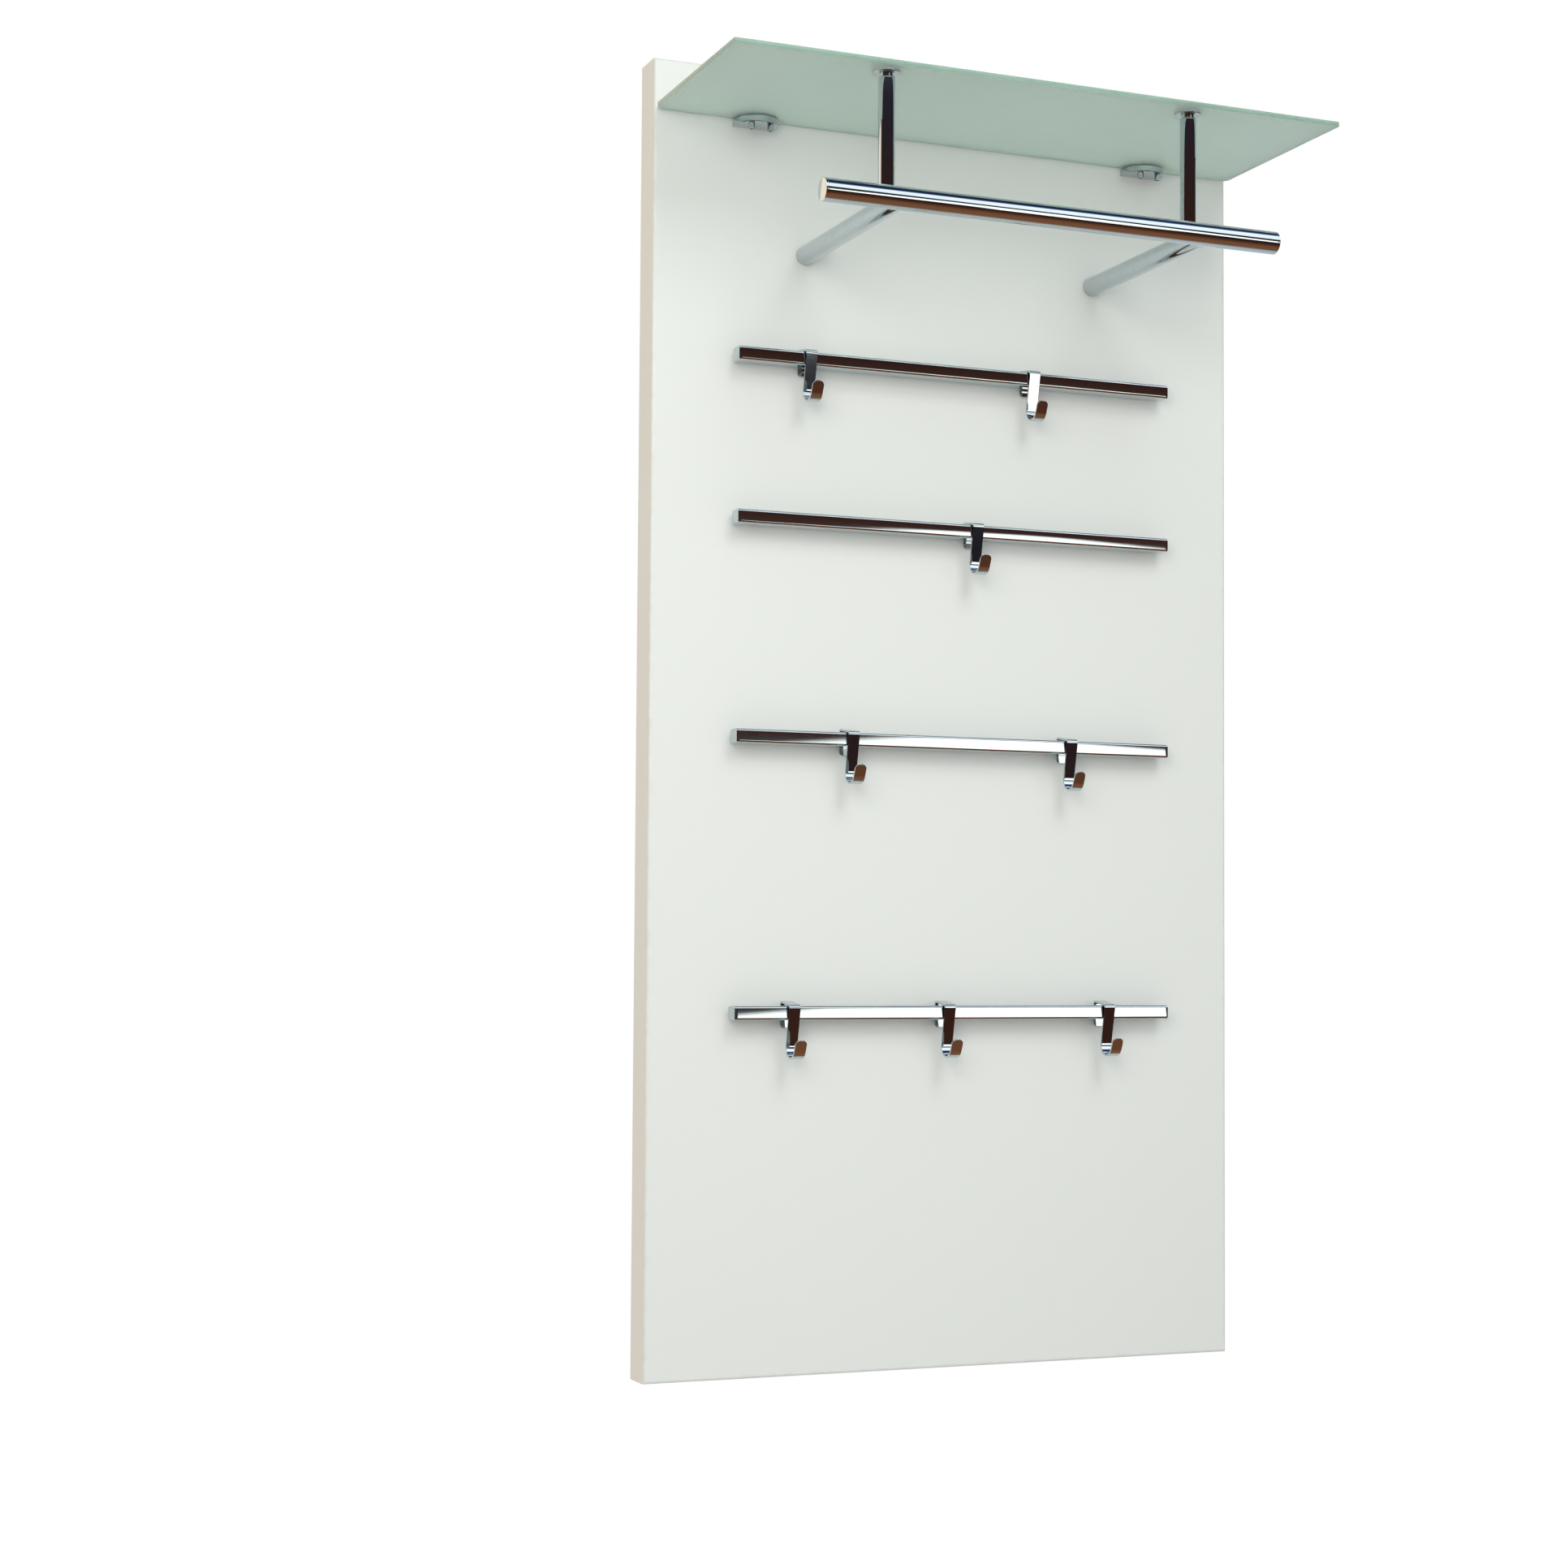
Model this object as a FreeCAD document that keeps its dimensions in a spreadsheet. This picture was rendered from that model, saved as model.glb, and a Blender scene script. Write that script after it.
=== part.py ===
import FreeCAD, Part
import math
import os
import re

import Sketcher
from FreeCAD import Rotation, Vector

# Wall hook rack: a white board hung on the wall, with a glass shelf, a hanging tube on
# two arms and two posts, and four rails that carry sliding hooks.
# Frame: origin midway between the two keyhole entries, on the board's back face.
# +X is to the right as seen from the front, +Y goes into the wall, +Z is up.

# Driving sizes, in millimetres and degrees.
driving_sizes = {
    # board
    "panel_width": 650,
    "panel_height": 1300,
    "panel_thick": 38,
    "panel_edge_round": 3,
    # keyhole plates let into the board's back
    "hang_drop": 100,  # hanging line below the board's top edge
    "hang_half_span": 250,
    "plate_width": 26,
    "plate_height": 68,
    "plate_thick": 2,
    "plate_below": 28,  # plate below the centre of the entry
    "keyhole_entry_dia": 11,
    "keyhole_slot_width": 5.6,
    "keyhole_slot_rise": 14,
    "head_room_width": 16,
    "head_room_depth": 12,
    "plate_screw_inset": 8,
    "plate_screw_dia": 3.5,
    "plate_screw_head_dia": 7,
    "plate_screw_length": 16,
    # glass shelf
    "shelf_drop": 52.5,  # underside of the glass below the board's top edge
    "shelf_reach": 219,  # front edge of the glass from the board's front
    "shelf_gap": 3,  # back edge of the glass from the board's front
    "glass_thick": 5,
    "glass_back_round": 8,
    "glass_front_round": 1.5,
    # glass clamps
    "clamp_half_span": 220,
    "clamp_width": 45,
    "clamp_depth": 29,
    "clamp_lower_jaw": 6.8,
    "clamp_upper_jaw": 5,
    "clamp_pad_thick": 0.8,
    "clamp_pad_margin": 5,
    "clamp_screw_half_span": 10,
    "clamp_screw_out": 21,
    "clamp_screw_dia": 5,
    "clamp_screw_head_dia": 6.5,
    "clamp_screw_head_height": 6.2,
    "clamp_screw_key": 3,
    "clamp_screw_key_depth": 3,
    "clamp_bolt_dia": 4,
    "clamp_bolt_bite": 11,
    # arms from the board to the hanging tube
    "arm_half_span": 163,
    "arm_dia": 20,
    "tube_wall": 1.5,
    "arm_wall_plug_length": 28,
    "arm_bolt_dia": 6,
    "arm_bolt_bite": 20,
    "arm_bolt_head_dia": 10,
    "arm_bolt_head_height": 5,
    "arm_bolt_sink_dia": 20,
    "arm_bolt_sink_depth": 8,
    "arm_washer_dia": 18,
    "arm_washer_thick": 1.6,
    "arm_front_plug_length": 70,  # from the tube's axis back into the arm
    # hanging tube
    "bar_drop": 182,  # tube axis and arm axis below the board's top edge
    "bar_out": 230,  # tube axis from the board's front
    "bar_dia": 22,
    "bar_length": 484,
    "bar_cap_thick": 2,
    "bar_cap_round": 0.8,
    "bar_cap_plug_length": 9,
    "bar_insert_length": 24,
    # posts from the arms up to the glass
    "post_out": 197.5,
    "post_dia": 16,
    "post_foot_length": 26,
    "post_head_dia": 27,
    "post_head_thick": 2,
    "post_head_bevel": 0.6,
    "post_neck_dia": 12,
    "post_neck_height": 2.5,
    "post_top_bevel": 1.5,
    "post_spigot_length": 14,
    "post_pad_thick": 1,
    "post_pad_margin": 1,
    # studs that join arm, post and tube
    "stud_dia": 5,
    "stud_bite": 12,
    # rails
    "rail_length": 484,
    "rail_height": 14,
    "rail_depth": 18,
    "rail_wall": 1.5,
    "rail_round": 2.5,
    "rail_gap": 5,  # between the board and the back of the rail
    "rail_drop_first": 284,  # top of each rail below the board's top edge
    "rail_drop_second": 446,
    "rail_drop_third": 663,
    "rail_drop_fourth": 935,
    "rail_cap_thick": 3.5,
    "rail_cap_round": 1.2,
    "rail_cap_plug_length": 10,
    "rail_screw_inset": 25,  # from the rail's end
    "spacer_dia": 11,
    "rail_screw_dia": 4,
    "small_head_dia": 7,
    "small_head_height": 2.6,
    "small_sink_dia": 9,
    "small_sink_depth": 12,
    "insert_dia": 7,
    "insert_length": 9,
    # bent strip hooks
    "strip_width": 12,
    "strip_thick": 2,
    "tab_drop": 22,  # end of the rear tab below the rail's top
    "tab_clear": 0.8,
    "grip_clear": 0.3,  # strip from the rail's rounded front edges
    "bridge_slope": 8.6,
    "leg_lean": 12,
    "rear_bend_radius": 2.5,  # bends are measured at the middle of the strip
    "front_bend_radius": 2.5,
    "curl_radius": 11,
    "hook_drop": 52,  # lowest point of the hook below the rail's top
    "tip_flare": 24,
    "tip_length": 12.5,
    "tip_round": 5,
    "tab_round": 3,
    # fits
    "plug_clear": 0.1,  # plug in its tube, screw in its thread, and one tube on another
    "screw_clear": 0.3,  # shank in a plain hole
}

# Hooks on each rail: the letter of the hook and its place along the rail.
rails = {
    "1": ("rail_drop_first", {"a": -166, "b": 83}),
    "2": ("rail_drop_second", {"a": 19}),
    "3": ("rail_drop_third", {"a": -118, "b": 127}),
    "4": ("rail_drop_fourth", {"a": -180, "b": -11, "c": 171}),
}
for number, (drop, hooks) in rails.items():
    for letter, hook_place in hooks.items():
        driving_sizes[f"hook_{number}{letter}_place"] = hook_place

sides = {"left": -1, "right": 1}

doc = FreeCAD.newDocument("wall_hook_rack")
sheet = doc.addObject("Spreadsheet::Sheet", "sizes")
for row, (alias, number) in enumerate(driving_sizes.items(), start=1):
    sheet.set(f"A{row}", alias)
    sheet.set(f"B{row}", str(number))
    sheet.setAlias(f"B{row}", alias)
doc.recompute()

nodes = []


# ---- places used by several sub-parts, as rules over the sheet ----
front = "(-panel_thick)"
top = "hang_drop"
glass_under = "(hang_drop - shelf_drop)"
bar_z = "(hang_drop - bar_drop)"
bar_y = "(-panel_thick - bar_out)"
post_y = "(-panel_thick - post_out)"
post_top = "(hang_drop - shelf_drop - post_pad_thick - post_head_thick - post_neck_height)"
clamp_bolt_z = "(hang_drop - shelf_drop - clamp_pad_thick - clamp_lower_jaw / 2)"
rail_back = "(-panel_thick - rail_gap)"
rail_screw_span = "(rail_length / 2 - rail_screw_inset)"


def rail_middle(drop):
    return f"(hang_drop - {drop} - rail_height / 2)"


def rule(text):
    """An expression over the sheet, from the bare names of its sizes."""
    return re.sub(r"[a-z]\w+", lambda word: f"sizes.{word.group()}", str(text))


def size(alias):
    return float(sheet.get(alias))


def bind(thing, **rules):
    for name, text in rules.items():
        thing.setExpression(name, rule(text))
    return thing


def place(thing, x=0, y=0, z=0):
    for axis, text in zip("xyz", (x, y, z)):
        thing.setExpression(f"Placement.Base.{axis}", rule(text))
    return thing


def node(thing, label):
    thing.Label = label
    nodes.append(thing)
    return thing


# ---- primitives and booleans ----
def cylinder(name, along, radius, length, x=0, y=0, z=0):
    rod = doc.addObject("Part::Cylinder", name)
    rod.Placement.Rotation = Rotation(Vector(0, 0, 1), Vector(*along))
    bind(rod, Radius=radius, Height=length)
    return place(rod, x, y, z)


def box(name, width, depth, height, x=0, y=0, z=0):
    block = bind(doc.addObject("Part::Box", name), Length=width, Width=depth, Height=height)
    return place(block, x, y, z)


def cut(name, base, *tools):
    result = doc.addObject("Part::Cut", name)
    result.Base = base
    result.Tool = tools[0] if len(tools) == 1 else join(f"{name}_tools", *tools)
    return result


def join(name, *pieces):
    result = doc.addObject("Part::MultiFuse", name)
    result.Shapes = list(pieces)
    return result


def group(name, pieces):
    result = doc.addObject("Part::Compound", name)
    result.Links = list(pieces)
    return result


# ---- sketches and bodies ----
def sketch_on(body, role, name):
    sketch = body.newObject("Sketcher::SketchObject", name)
    plane = next(item for item in body.Origin.OriginFeatures if item.Role == role)
    sketch.AttachmentSupport = (plane, "")
    sketch.MapMode = "FlatFace"
    return sketch


def constrain(sketch, text, kind, *where, now=1.0):
    """Add one dimension whose value follows a rule over the sheet, starting from its value now."""
    index = sketch.addConstraint(Sketcher.Constraint(kind, *where, now))
    sketch.setExpression(f"Constraints[{index}]", rule(text))


def outline(sketch, corners):
    """A closed polygon whose corners each follow two rules."""
    count = len(corners)
    first = sketch.GeometryCount
    turn = 2 * math.pi / count
    spots = [Vector(math.cos(turn * k), math.sin(turn * k), 0) for k in range(count)]
    for k in range(count):
        sketch.addGeometry(Part.LineSegment(spots[k], spots[(k + 1) % count]), False)
    for k in range(count):
        following = first + (k + 1) % count
        sketch.addConstraint(Sketcher.Constraint("Coincident", first + k, 2, following, 1))
    for k, (x, y) in enumerate(corners):
        constrain(sketch, x, "DistanceX", -1, 1, first + k, 1)
        constrain(sketch, y, "DistanceY", -1, 1, first + k, 1)


def rectangle(sketch, left, low, right, high):
    outline(sketch, [(left, low), (right, low), (right, high), (left, high)])


def circle(sketch, dia, x, y):
    ring = sketch.addGeometry(Part.Circle(Vector(1, 1, 0), Vector(0, 0, 1), 1), False)
    constrain(sketch, dia, "Diameter", ring)
    constrain(sketch, x, "DistanceX", -1, 1, ring, 3)
    constrain(sketch, y, "DistanceY", -1, 1, ring, 3)


def new_body(label):
    return node(doc.addObject("PartDesign::Body", label), label)


def pad(body, sketch, length, symmetric=False, reverse=False):
    feature = body.newObject("PartDesign::Pad", f"{sketch.Name}_pad")
    feature.Profile = sketch
    feature.SideType = "Symmetric" if symmetric else "One side"
    feature.Reversed = reverse
    bind(feature, Length=length)
    sketch.Visibility = False
    return feature


def pocket(body, sketch, depth=None, reverse=False):
    """Cut to a depth, or through everything if no depth is given."""
    doc.recompute()
    before = body.Shape.Volume
    feature = body.newObject("PartDesign::Pocket", f"{sketch.Name}_pocket")
    feature.Profile = sketch
    feature.Reversed = reverse
    if depth is None:
        feature.Type = "ThroughAll"
    else:
        bind(feature, Length=depth)
    doc.recompute()
    if not body.Shape.Volume < before:
        raise RuntimeError(f"{feature.Name} cuts nothing")
    return feature


def round_edges(body, name, radius, chosen):
    """Fillet the edges of the body's tip that a test picks."""
    doc.recompute()
    tip = body.Tip
    picked = [f"Edge{k}" for k, edge in enumerate(tip.Shape.Edges, start=1) if chosen(edge)]
    feature = body.newObject("PartDesign::Fillet", name)
    feature.Base = (tip, picked)
    bind(feature, Radius=radius)
    return feature


def box_of(edge):
    return edge.BoundBox


def runs_along(edge, axis):
    spread = {"x": box_of(edge).XLength, "y": box_of(edge).YLength, "z": box_of(edge).ZLength}
    longest = spread.pop(axis)
    return longest > 1e-6 and max(spread.values()) < 1e-6


def turned(label, corners):
    """A body turned about its own Z axis from an outline of radius and height."""
    body = new_body(label)
    sketch = sketch_on(body, "XZ_Plane", f"{label}_section")
    outline(sketch, corners)
    feature = body.newObject("PartDesign::Revolution", f"{label}_turn")
    feature.Profile = sketch
    feature.ReferenceAxis = (sketch, ["V_Axis"])
    feature.Angle = 360
    return body


# ---- board and its hanging plates ----
def make_panel():
    body = new_body("panel")
    face = sketch_on(body, "XZ_Plane", "panel_face")
    rectangle(face, "-panel_width / 2", f"{top} - panel_height", "panel_width / 2", top)
    pad(body, face, "panel_thick")

    def on_front(edge):
        return box_of(edge).YMax < -size("panel_thick") + 1e-6

    round_edges(body, "panel_front_round", "panel_edge_round", on_front)

    recess = sketch_on(body, "XZ_Plane", "plate_recess")
    for sign in sides.values():
        middle = f"{sign} * hang_half_span"
        rectangle(
            recess,
            f"{middle} - plate_width / 2 - plug_clear",
            "-plate_below - plug_clear",
            f"{middle} + plate_width / 2 + plug_clear",
            "plate_height - plate_below + plug_clear",
        )
    pocket(body, recess, "plate_thick", reverse=True)

    room = sketch_on(body, "XZ_Plane", "head_room")
    for sign in sides.values():
        middle = f"{sign} * hang_half_span"
        rectangle(
            room,
            f"{middle} - head_room_width / 2",
            "-head_room_width / 2",
            f"{middle} + head_room_width / 2",
            "keyhole_slot_rise + head_room_width / 2",
        )
    pocket(body, room, "head_room_depth + plate_thick", reverse=True)

    pilots = sketch_on(body, "XZ_Plane", "plate_screw_pilots")
    for sign in sides.values():
        for height in plate_screw_heights():
            circle(pilots, "plate_screw_dia + 2 * plug_clear", f"{sign} * hang_half_span", height)
    pocket(body, pilots, "plate_screw_length + 1", reverse=True)

    sinks = sketch_on(body, "XZ_Plane", "arm_bolt_sinks")
    shanks = sketch_on(body, "XZ_Plane", "arm_bolt_holes")
    for sign in sides.values():
        circle(sinks, "arm_bolt_sink_dia", f"{sign} * arm_half_span", bar_z)
        circle(shanks, "arm_bolt_dia + 2 * screw_clear", f"{sign} * arm_half_span", bar_z)
    pocket(body, sinks, "arm_bolt_sink_depth", reverse=True)
    pocket(body, shanks, reverse=True)

    small_sinks = sketch_on(body, "XZ_Plane", "small_sinks")
    small_holes = sketch_on(body, "XZ_Plane", "small_holes")
    for sign in sides.values():
        spots = [(f"{sign} * clamp_half_span", clamp_bolt_z, "clamp_bolt_dia")]
        for drop, _ in rails.values():
            spots.append((f"{sign} * {rail_screw_span}", rail_middle(drop), "rail_screw_dia"))
        for x, z, dia in spots:
            circle(small_sinks, "small_sink_dia", x, z)
            circle(small_holes, f"{dia} + 2 * screw_clear", x, z)
    pocket(body, small_sinks, "small_sink_depth", reverse=True)
    pocket(body, small_holes, reverse=True)


def plate_screw_heights():
    return "plate_screw_inset - plate_below", "plate_height - plate_below - plate_screw_inset"


def make_hanging_plates():
    screws = []
    for side, sign in sides.items():
        x = f"{sign} * hang_half_span"
        name = f"hanging_plate_{side}"
        blank = box(
            f"{name}_blank", "plate_width", "plate_thick", "plate_height",
            f"{x} - plate_width / 2", "-plate_thick", "-plate_below",
        )
        into_board = (0, -1, 0)
        deep = "plate_thick"
        cutters = [
            cylinder(f"{name}_entry", into_board, "keyhole_entry_dia / 2", deep, x),
            cylinder(
                f"{name}_slot_end", into_board, "keyhole_slot_width / 2", deep,
                x, 0, "keyhole_slot_rise",
            ),
            box(
                f"{name}_slot", "keyhole_slot_width", deep, "keyhole_slot_rise",
                f"{x} - keyhole_slot_width / 2", "-plate_thick",
            ),
        ]
        for k, height in enumerate(plate_screw_heights()):
            cutters.append(countersink(f"{name}_seat_{k}", x, height, "plug_clear"))
            screws.append(plate_screw(f"{name}_screw_{k}", x, height))
        node(cut(name, blank, *cutters), name)
    node(group("hanging_plate_screws", screws), "hanging_plate_screws")


def countersink(name, x, z, clear):
    """The cone of a countersunk head with its mouth on the back face."""
    cone = doc.addObject("Part::Cone", name)
    cone.Placement.Rotation = Rotation(Vector(0, 0, 1), Vector(0, -1, 0))
    bind(
        cone,
        Radius1=f"plate_screw_head_dia / 2 + {clear}",
        Radius2=f"plate_screw_dia / 2 + {clear}",
        Height="plate_thick",
    )
    return place(cone, x, 0, z)


def plate_screw(name, x, z):
    head = countersink(f"{name}_head", x, z, "0")
    shank = cylinder(
        f"{name}_shank", (0, -1, 0), "plate_screw_dia / 2", "plate_screw_length", x, 0, z
    )
    return join(name, head, shank)


# ---- glass shelf and its clamps ----
def make_shelf():
    body = new_body("shelf_glass")
    face = sketch_on(body, "XY_Plane", "shelf_outline")
    half = "panel_width / 2"
    rectangle(face, f"-{half}", f"{front} - shelf_reach", half, f"{front} - shelf_gap")
    pad(body, face, "glass_thick")
    place(body, 0, 0, glass_under)

    def at_back(edge):
        return runs_along(edge, "z") and box_of(edge).YMin > -size("panel_thick") - size("shelf_gap") - 1

    def at_front(edge):
        return runs_along(edge, "z") and box_of(edge).YMax < -size("panel_thick") - size("shelf_reach") + 1

    round_edges(body, "shelf_back_corners", "glass_back_round", at_back)
    round_edges(body, "shelf_front_corners", "glass_front_round", at_front)


def make_clamp(side, sign):
    x = f"{sign} * clamp_half_span"
    name = f"clamp_body_{side}"
    low = f"({glass_under} - clamp_pad_thick - clamp_lower_jaw)"
    slot_low = f"({glass_under} - clamp_pad_thick)"
    slot_height = "(glass_thick + 2 * clamp_pad_thick)"
    height = f"(clamp_lower_jaw + clamp_upper_jaw + {slot_height})"
    left = f"{x} - clamp_width / 2"

    nose_y = f"{front} - clamp_depth + clamp_width / 2"
    nose = cylinder(f"{name}_nose", (0, 0, 1), "clamp_width / 2", height, x, nose_y, low)
    limit = box(
        f"{name}_limit", "clamp_width", "clamp_depth", height,
        left, f"{front} - clamp_depth", low,
    )
    rounded = doc.addObject("Part::Common", f"{name}_rounded")
    rounded.Base = nose
    rounded.Tool = limit
    root_depth = "(clamp_depth - clamp_width / 2)"
    root = box(f"{name}_root", "clamp_width", root_depth, height, left, f"{front} - {root_depth}", low)
    blank = join(f"{name}_blank", rounded, root)

    slot = box(
        f"{name}_slot", "clamp_width + 2", "clamp_depth", slot_height,
        f"{left} - 1", f"{front} - shelf_gap - clamp_depth", slot_low,
    )
    cutters = [slot]
    screw_y = f"{front} - clamp_screw_out"
    for k, way in enumerate((-1, 1)):
        screw_x = f"{x} + {way} * clamp_screw_half_span"
        cutters.append(
            cylinder(
                f"{name}_thread_{k}", (0, 0, 1), "clamp_screw_dia / 2 + plug_clear",
                "clamp_lower_jaw", screw_x, screw_y, low,
            )
        )
    cutters.append(
        cylinder(
            f"{name}_bolt_thread", (0, -1, 0), "clamp_bolt_dia / 2 + plug_clear",
            "clamp_bolt_bite + 1", x, front, clamp_bolt_z,
        )
    )
    node(cut(name, blank, *cutters), name)

    pad_width = "clamp_width - 2 * clamp_pad_margin"
    pad_depth = "clamp_depth - shelf_gap - 2 * clamp_pad_margin"
    pads = []
    for level, z in (("lower", slot_low), ("upper", f"{glass_under} + glass_thick")):
        pads.append(
            box(
                f"clamp_{level}_pad_{side}", pad_width, pad_depth, "clamp_pad_thick",
                f"{left} + clamp_pad_margin", f"{front} - shelf_gap - ({pad_depth})", z,
            )
        )
    node(group(f"clamp_pads_{side}", pads), f"clamp_pads_{side}")

    screws = [
        clamp_screw(f"clamp_screw_{side}_{k}", f"{x} + {way} * clamp_screw_half_span", screw_y, low)
        for k, way in enumerate((-1, 1))
    ]
    node(group(f"clamp_screws_{side}", screws), f"clamp_screws_{side}")


def clamp_screw(name, x, y, jaw_under):
    """A socket screw that comes up through the lower jaw and presses on the lower pad."""
    head = cylinder(
        f"{name}_head", (0, 0, -1), "clamp_screw_head_dia / 2", "clamp_screw_head_height",
        x, y, jaw_under,
    )
    shank = cylinder(f"{name}_shank", (0, 0, 1), "clamp_screw_dia / 2", "clamp_lower_jaw", x, y, jaw_under)
    key = doc.addObject("Part::Prism", f"{name}_key")
    key.Polygon = 6
    bind(key, Circumradius="clamp_screw_key / 1.732", Height="clamp_screw_key_depth")
    place(key, x, y, f"{jaw_under} - clamp_screw_head_height")
    return cut(name, join(f"{name}_blank", head, shank), key)


def screw_from_back(name, dia, head_dia, head_height, seat, length, x, z):
    """A screw whose head sits on a counterbore's floor and points at the front."""
    head = cylinder(f"{name}_head", (0, 1, 0), f"{head_dia} / 2", head_height, x, f"-({seat})", z)
    shank = cylinder(f"{name}_shank", (0, -1, 0), f"{dia} / 2", length, x, f"-({seat})", z)
    return join(name, head, shank)


def make_clamp_bolts():
    bolts = [
        screw_from_back(
            f"clamp_bolt_{side}", "clamp_bolt_dia", "small_head_dia", "small_head_height",
            "small_sink_depth", "panel_thick - small_sink_depth + clamp_bolt_bite",
            f"{sign} * clamp_half_span", clamp_bolt_z,
        )
        for side, sign in sides.items()
    ]
    node(group("clamp_bolts", bolts), "clamp_bolts")


# ---- arms, posts and hanging tube ----
def make_arm(side, sign):
    x = f"{sign} * arm_half_span"
    outward = (0, -1, 0)
    upward = (0, 0, 1)
    inner = "(arm_dia / 2 - tube_wall)"

    def bar_saddle(name):
        reach = "arm_dia"
        return cylinder(
            name, (1, 0, 0), "bar_dia / 2 + plug_clear", f"2 * {reach}", f"{x} - {reach}", bar_y, bar_z
        )

    name = f"arm_{side}"
    outer = cylinder(f"{name}_outer", outward, "arm_dia / 2", "bar_out", x, front, bar_z)
    bore = cylinder(f"{name}_bore", outward, inner, "bar_out", x, front, bar_z)
    stud_hole = cylinder(
        f"{name}_stud_hole", upward, "stud_dia / 2 + screw_clear", "arm_dia", x, post_y, bar_z
    )
    node(cut(name, outer, bore, bar_saddle(f"{name}_saddle"), stud_hole), name)

    name = f"arm_wall_plug_{side}"
    rod = cylinder(
        f"{name}_rod", outward, f"{inner} - plug_clear", "arm_wall_plug_length", x, front, bar_z
    )
    thread = cylinder(
        f"{name}_thread", outward, "arm_bolt_dia / 2 + plug_clear", "arm_bolt_bite + 2", x, front, bar_z
    )
    node(cut(name, rod, thread), name)

    name = f"arm_front_plug_{side}"
    back = f"{bar_y} + arm_front_plug_length"
    rod = cylinder(
        f"{name}_rod", outward, f"{inner} - plug_clear", "arm_front_plug_length", x, back, bar_z
    )
    bar_thread = cylinder(
        f"{name}_bar_thread", outward, "stud_dia / 2 + plug_clear", "bar_dia / 2 + stud_bite + 1",
        x, f"{bar_y} + bar_dia / 2 + stud_bite + 1", bar_z,
    )
    post_thread = cylinder(
        f"{name}_post_thread", upward, "stud_dia / 2 + plug_clear", "arm_dia",
        x, post_y, f"{bar_z} + arm_dia / 2 - stud_bite - 1",
    )
    node(cut(name, rod, bar_saddle(f"{name}_saddle"), bar_thread, post_thread), name)


def make_arm_bolts():
    bolts = []
    washers = []
    for side, sign in sides.items():
        x = f"{sign} * arm_half_span"
        seat = "arm_bolt_sink_depth - arm_washer_thick"
        bolts.append(
            screw_from_back(
                f"arm_bolt_{side}", "arm_bolt_dia", "arm_bolt_head_dia", "arm_bolt_head_height",
                seat, f"panel_thick - ({seat}) + arm_bolt_bite", x, bar_z,
            )
        )
        disc = cylinder(
            f"arm_washer_{side}_disc", (0, -1, 0), "arm_washer_dia / 2", "arm_washer_thick",
            x, f"-({seat})", bar_z,
        )
        hole = cylinder(
            f"arm_washer_{side}_hole", (0, -1, 0), "arm_bolt_dia / 2 + screw_clear",
            "arm_washer_thick", x, f"-({seat})", bar_z,
        )
        washers.append(cut(f"arm_washer_{side}", disc, hole))
    node(group("arm_bolts", bolts), "arm_bolts")
    node(group("arm_washers", washers), "arm_washers")


def make_post(side, sign):
    x = f"{sign} * arm_half_span"
    upward = (0, 0, 1)
    inner = "(post_dia / 2 - tube_wall)"

    def arm_saddle(name):
        reach = "post_dia"
        return cylinder(
            name, (0, -1, 0), "arm_dia / 2 + plug_clear", f"2 * {reach}",
            x, f"{post_y} + {reach}", bar_z,
        )

    name = f"post_{side}"
    length = f"{post_top} - {bar_z}"
    outer = cylinder(f"{name}_outer", upward, "post_dia / 2", f"{length} - post_top_bevel", x, post_y, bar_z)
    shoulder = doc.addObject("Part::Cone", f"{name}_shoulder")
    bind(
        shoulder,
        Radius1="post_dia / 2",
        Radius2="post_dia / 2 - post_top_bevel",
        Height="post_top_bevel",
    )
    place(shoulder, x, post_y, f"{post_top} - post_top_bevel")
    # the bore stops under the shoulder, so the top stays closed but for the neck's spigot
    bore = cylinder(f"{name}_bore", upward, inner, f"{length} - 2 * post_top_bevel", x, post_y, bar_z)
    spigot_hole = cylinder(
        f"{name}_spigot_hole", upward, "post_neck_dia / 2 - tube_wall + plug_clear",
        "3 * post_top_bevel", x, post_y, f"{post_top} - 3 * post_top_bevel",
    )
    blank = join(f"{name}_blank", outer, shoulder)
    node(cut(name, blank, bore, spigot_hole, arm_saddle(f"{name}_saddle")), name)

    name = f"post_foot_{side}"
    rod = cylinder(
        f"{name}_rod", upward, f"{inner} - plug_clear", "arm_dia / 2 + post_foot_length",
        x, post_y, bar_z,
    )
    thread = cylinder(
        f"{name}_thread", upward, "stud_dia / 2 + plug_clear",
        "arm_dia / 2 + stud_bite + 1", x, post_y, bar_z,
    )
    node(cut(name, rod, thread, arm_saddle(f"{name}_saddle")), name)

    neck = "post_neck_dia / 2"
    spigot = "post_neck_dia / 2 - tube_wall"
    rim = "post_head_dia / 2"
    disc = "post_neck_height + post_head_thick"
    head = turned(
        f"post_head_{side}",
        [
            ("0", "-post_spigot_length"),
            (spigot, "-post_spigot_length"),
            (spigot, "0"),
            (neck, "0"),
            (neck, "post_neck_height"),
            (f"{rim} - post_head_bevel", "post_neck_height"),
            (rim, "post_neck_height + post_head_bevel"),
            (rim, disc),
            ("0", disc),
        ],
    )
    place(head, x, post_y, post_top)

    pad_z = f"{glass_under} - post_pad_thick"
    name = f"post_pad_{side}"
    disc = cylinder(name, upward, f"{rim} - post_pad_margin", "post_pad_thick", x, post_y, pad_z)
    node(disc, name)


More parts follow.
